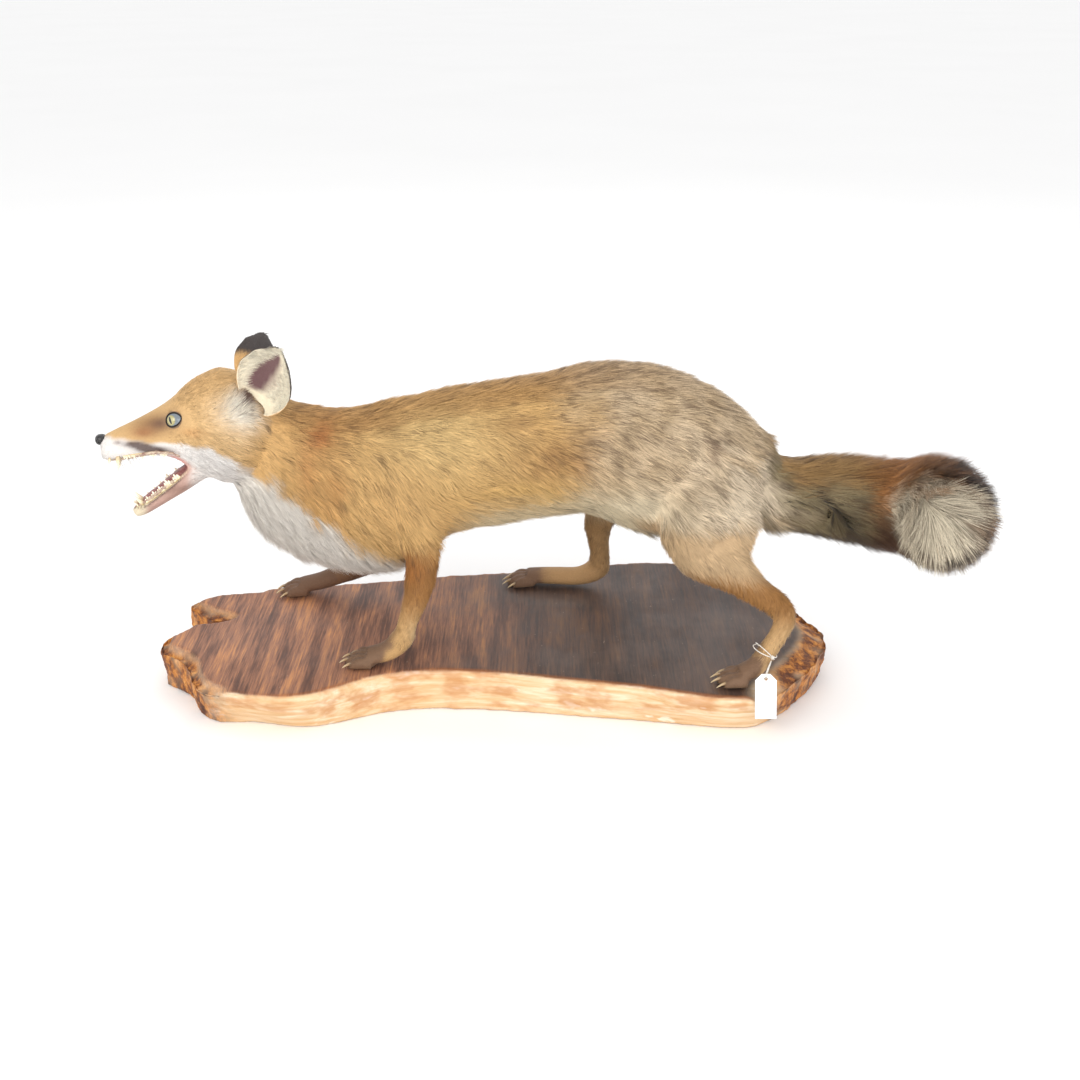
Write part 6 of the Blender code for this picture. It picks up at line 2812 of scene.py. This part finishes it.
@dataclass(frozen=True)
class Tag:
    """The blank card label, its thread and the two turns round the ankle; sizes in millimetres."""

    width: float = 20.0
    height: float = 42.0
    thickness: float = 0.7
    clip: float = 6.0
    hole: float = 1.8
    hole_down: float = 4.5
    centre: tuple[float, float, float] = (211.0, -141.8, 46.5)
    lean: float = 22.0
    ankle: tuple[float, float, float] = (213.5, -107.2, 76.0)
    ankle_axis: tuple[float, float, float] = (0.54, 0.2, 0.82)
    ankle_radii: tuple[float, float] = (11.6, 12.2)
    turn_gap: float = 2.6
    knot_turn: float = -0.95
    # From the hole's middle: across the card, out from its face, up its length.
    route: Rows = (
        (6.4, -8.8, 15.6), (5.6, -7.0, 14.1), (4.6, -5.0, 12.3), (3.5, -2.9, 10.4), (2.3, -0.7, 8.2),
        (1.2, 1.2, 5.9), (0.4, 2.2, 3.5), (0.0, 1.7, 1.1), (0.0, 0.0, 0.2), (0.0, -1.6, 1.0),
        (0.3, -2.3, 3.2), (1.0, -3.1, 5.5), (2.1, -4.4, 7.9), (3.4, -6.2, 10.2), (4.8, -8.2, 12.3),
        (6.0, -10.1, 14.2), (6.8, -11.6, 15.4),
    )  # fmt: skip

    def pose(self) -> np.ndarray:
        """Gives the card's place and lean as a matrix, in metres."""
        turn = Matrix.Rotation(math.radians(90 - self.lean), 4, "X")
        return np.array(Matrix.Translation(Vector(self.centre) * MM) @ turn)

    def placed(self, spots: np.ndarray) -> np.ndarray:
        """Puts places on the card, in millimetres, where the card hangs, in metres."""
        whole = self.pose()
        return spots * MM @ whole[:3, :3].T + whole[:3, 3]

    def card(self, material: bpy.types.Material) -> bpy.types.Object:
        """Makes the card with clipped corners, its hole, softened edges and a slight curl.

        Args:
            material: the finish that it wears.

        Returns:
            The finished piece.
        """
        half, top = self.width / 2, self.height / 2
        corners = [(-half, -top), (half, -top), (half, top - self.clip), (half - self.clip, top),
                   (self.clip - half, top), (-half, top - self.clip)]  # fmt: skip
        outline = []
        for (ax, ay), (bx, by) in zip(corners, corners[1:] + corners[:1]):
            pieces = max(2, int(math.hypot(bx - ax, by - ay) / 2))
            outline += [(ax + (bx - ax) * i / pieces, ay + (by - ay) * i / pieces) for i in range(pieces)]
        turns = [FULL_TURN * i / 28 for i in range(28)]
        middle = top - self.hole_down
        ring = [(self.hole * math.cos(turn), middle + self.hole * math.sin(turn)) for turn in turns]
        bm = bmesh.new()
        for loop_points in (outline, ring):
            verts = [bm.verts.new((x, y, 0)) for x, y in loop_points]
            for a, b in zip(verts, verts[1:] + verts[:1]):
                bm.edges.new((a, b))
        bmesh.ops.triangle_fill(bm, use_beauty=True, edges=bm.edges[:])
        mesh = bpy.data.meshes.new("tag")
        bm.to_mesh(mesh)
        bm.free()
        obj = link(bpy.data.objects.new("tag", mesh))
        wall = obj.modifiers.new("wall", "SOLIDIFY")
        wall.thickness, wall.offset = self.thickness, 0.0
        soft = obj.modifiers.new("soft", "BEVEL")
        soft.width, soft.segments, soft.limit_method = 0.12, 2, "ANGLE"
        fixed(obj)
        flat = points_of(obj.data)
        flat[:, 2] += 0.35 * np.sin(flat[:, 1] / 13.0 + 0.4) + 0.15 * np.cos(flat[:, 0] / 5.0)
        set_points(obj.data, self.placed(flat))
        return dress(obj, material)

    def thread_route(self) -> np.ndarray:
        """Gives the thread's points in metres, from the knot through the hole and back."""
        high = self.height / 2 - self.hole_down
        return self.placed(np.array([(x, high + up, out) for x, out, up in self.route]))

    def ankle_point(self, turn: np.ndarray, rise: float) -> np.ndarray:
        """Gives points on the loop round the ankle, in metres.

        Args:
            turn: the angles round the ankle, in radians.
            rise: how far it climbs and falls on the way round, in millimetres.

        Returns:
            One row for each angle.
        """
        along = unit(np.array(self.ankle_axis))
        side = unit(np.cross(along, (1.0, 0.0, 0.0)))
        ahead = np.cross(side, along)
        out = np.outer(self.ankle_radii[0] * np.cos(turn), ahead) + np.outer(self.ankle_radii[1] * np.sin(turn), side)
        lifted = np.outer(rise * np.cos(turn - self.knot_turn - math.pi / 2), along)
        return (np.array(self.ankle) + out * (1 + 0.03 * np.sign(rise)) + lifted) * MM

    def loop(self, material: bpy.types.Material) -> bpy.types.Object:
        """Makes the two turns round the ankle and the small overhand knot on the near side.

        Args:
            material: the finish that it wears.

        Returns:
            The finished piece.
        """
        turn = np.linspace(0, FULL_TURN, 72, endpoint=False)
        paths = [(self.ankle_point(turn, share * self.turn_gap), True) for share in (-1.0, 1.0)]
        along = unit(np.array(self.ankle_axis))
        knot = self.ankle_point(np.array([self.knot_turn]), 0.0)[0]
        out = unit(knot - np.array(self.ankle) * MM)
        level = np.cross(along, out)
        t = np.linspace(0, FULL_TURN, 60, endpoint=False)
        wind = np.column_stack([np.sin(t) + 2 * np.sin(2 * t), np.cos(t) - 2 * np.cos(2 * t), -1.6 * np.sin(3 * t)])
        paths.append((knot + wind * np.array((0.55, 0.62, 0.42)) * MM @ np.array((level, along, out)), True))
        return twine_tree().run(poly_curve("ankle_loop", paths), Material=material)

    def thread(self, material: bpy.types.Material) -> bpy.types.Object:
        """Makes the doubled thread that the card hangs from."""
        return twine_tree().run(poly_curve("tag_thread", [(self.thread_route(), False)]), Material=material)


# ------------------------------------------------------------------------------------------ the picture
@dataclass(frozen=True)
class Stage:
    """Camera, lights and the pale floor."""

    target: tuple[float, float, float] = (0.0, 0.0, 0.145)
    distance: float = 1.4
    elevation: float = 23.0
    lens: float = 46.6667

    def camera(self) -> None:
        """Places the camera in front of the fox's left side, looking a little down."""
        data = bpy.data.cameras.new("camera")
        data.lens, data.sensor_width, data.clip_start = self.lens, 36.0, 0.05
        camera = link(bpy.data.objects.new("camera", data))
        lean = math.radians(self.elevation)
        camera.location = Vector(self.target) + Vector((0, -math.cos(lean), math.sin(lean))) * self.distance
        camera.rotation_euler = (math.radians(90) - lean, 0, 0)
        bpy.context.scene.camera = camera

    def light(self, name: str, place: tuple, size: float, power: float, colour: str = "FFFFFF") -> None:
        """Hangs one square soft light that looks at the model's middle.

        Args:
            name: the light's name.
            place: where it hangs.
            size: its side in metres.
            power: its power in watts.
            colour: its colour code.
        """
        data = bpy.data.lights.new(name, "AREA")
        data.shape, data.size, data.energy, data.color = "SQUARE", size, power, tuple(tint(colour))
        lamp = link(bpy.data.objects.new(name, data))
        lamp.location = place
        lamp.rotation_euler = (Vector(self.target) - Vector(place)).to_track_quat("-Z", "Y").to_euler()

    def build(self) -> None:
        """Sets the floor, the sky and the lights."""
        corners = np.array([(-1, -1), (1, -1), (1, 1), (-1, 1)]) * FLOOR_HALF
        points = np.column_stack([corners, np.full(4, -FLOOR_DROP)])
        floor = dress(mesh_object("floor", points, [(0, 1, 2, 3)]), Backdrop().material())
        world = bpy.data.worlds.new("sky")
        bpy.context.scene.world = world
        world.use_nodes = True
        sky = world.node_tree.nodes["Background"]
        sky.inputs["Color"].default_value = (1.0, 1.0, 1.0, 1.0)
        sky.inputs["Strength"].default_value = 1.0
        self.light("key", (-0.8, -2.2, 1.5), 1.7, 35.0, "FFFAF2")
        self.light("fill", (1.6, -1.9, 0.9), 1.6, 17.0, "F8F9FF")
        self.light("back", (0.4, 1.6, 1.9), 1.8, 10.0)
        bpy.context.scene.view_settings.view_transform = "Standard"


# ------------------------------------------------------------------------------------------ putting it together
def place(piece: bpy.types.Object, slot: str, *nodes: str) -> bpy.types.Object:
    """Rides a piece on the one body, hides the CAD nodes that it stands for and logs its face count.

    Args:
        piece: the finished piece.
        slot: the name of its finish; not used.
        nodes: the CAD nodes that it stands for.

    Returns:
        The same piece.
    """
    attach(piece, "root")
    if nodes:
        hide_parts(*nodes)
    log.info("%s: %d faces", piece.name, len(piece.data.polygons))
    return piece


def build_tag() -> None:
    """Builds the loop, the thread and the card."""
    tag = Tag()
    cotton = Cotton().material()
    card = place(tag.card(Paper().material()), "tag_paper", "tag_card")
    place(tag.loop(cotton), "string_cotton", "tag_loop")
    thread = place(tag.thread(cotton), "string_cotton", "tag_string")


def build_fox() -> None:
    """Builds the skin with its ears, the coat, the face and the claws."""
    fur = Pelt("fur_coat").material()
    hide_finish = Pelt("fur_skin", roughness=0.7, sheen=0.05, mottle=0.22, grain=500.0, bump=0.0006).material()
    obj, hide = Skin().build()
    colour, dark = MARKS.everywhere(hide)
    hide.fields["colour"], hide.fields["dark"] = colour, dark
    log.info("skin: %d faces", len(hide.faces))
    coat = Coat(hide)
    for patch in PATCHES:
        place(coat.grow(patch, fur), "fur_coat")
    place(coat.ears(fur), "fur_coat")
    inside = hide.fields["inside"]
    bare = np.maximum(inside, hide.fields["shares"][:, Region.JAW.value] * step(hide.fields["local"][:, 0], 72, 88))
    # Painted shade: the skin under the coat is darkened to 0.82 of its colour; the bare mouth and jaw keep theirs.
    give(obj.data, "Pelt", colour * (0.82 + 0.18 * bare)[:, None])
    parts = [obj]
    for ear in EARS:
        points, faces, kinds = ear.shell()
        shell = mesh_object("ear", points, faces)
        give(shell.data, "Pelt", MARKS.ears(kinds))
        parts.append(shell)
    for eye in (Eye(-1), Eye(1)):
        points, faces, colours = eye.lids()
        lid = mesh_object("lid", points, faces)
        give(lid.data, "Pelt", colours)
        parts.append(lid)
    with bpy.context.temp_override(active_object=obj, selected_editable_objects=parts):
        bpy.ops.object.join()
    make_smooth(obj.data)
    place(dress(obj, hide_finish), "fur_coat", *FLESH_NODES)
    glass = Glass().material()
    for side, node in ((-1, "eye_left"), (1, "eye_right")):
        place(Eye(side).glass(glass), "eye_glass", node)
    enamel = Horn("tooth_enamel", "B99E6C", "E6DABA", "F6F0DF", 0.25, 0.6, 0.05).material()
    gum = Moist("gum_flesh", "8C6A5E", "D8C8AE", 900.0, 0.35, 0.5).material()
    flesh = Moist("tongue_flesh", "7E4A48", "B5766F", 1500.0, 0.35, 0.5).material()
    leather = Moist("nose_leather", "0B0A0B", "1D191A", 1700.0, 0.28, 0.7, 0.0004).material()
    place(Teeth().fangs(enamel), "tooth_enamel")
    place(Teeth().cheek(enamel), "tooth_enamel")
    mouth = Mouth()
    place(mouth.gums(gum), "tongue_flesh")
    place(mouth.tongue(flesh), "tongue_flesh", "tongue")
    place(mouth.nose(leather), "nose_leather", "nose")
    horn = Horn("claw_horn", "5B4633", "A98C66", "D9C6A0", 0.3, 0.5).material()
    place(mouth.whiskers(Horn("whisker_horn", "8C7F70", "A3978A", "C9BFB0", 0.4, 0.1).material()), "fur_coat")
    place(claws(horn), "claw_horn")


def main() -> None:
    """Builds the whole model in order."""
    stage = Stage()
    stage.camera()
    build_tag()
    place(Slab().build(Timber().material()), "slab_timber", "base_slab")
    build_fox()
    stage.build()
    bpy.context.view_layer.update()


if __name__ == "__main__":
    main()
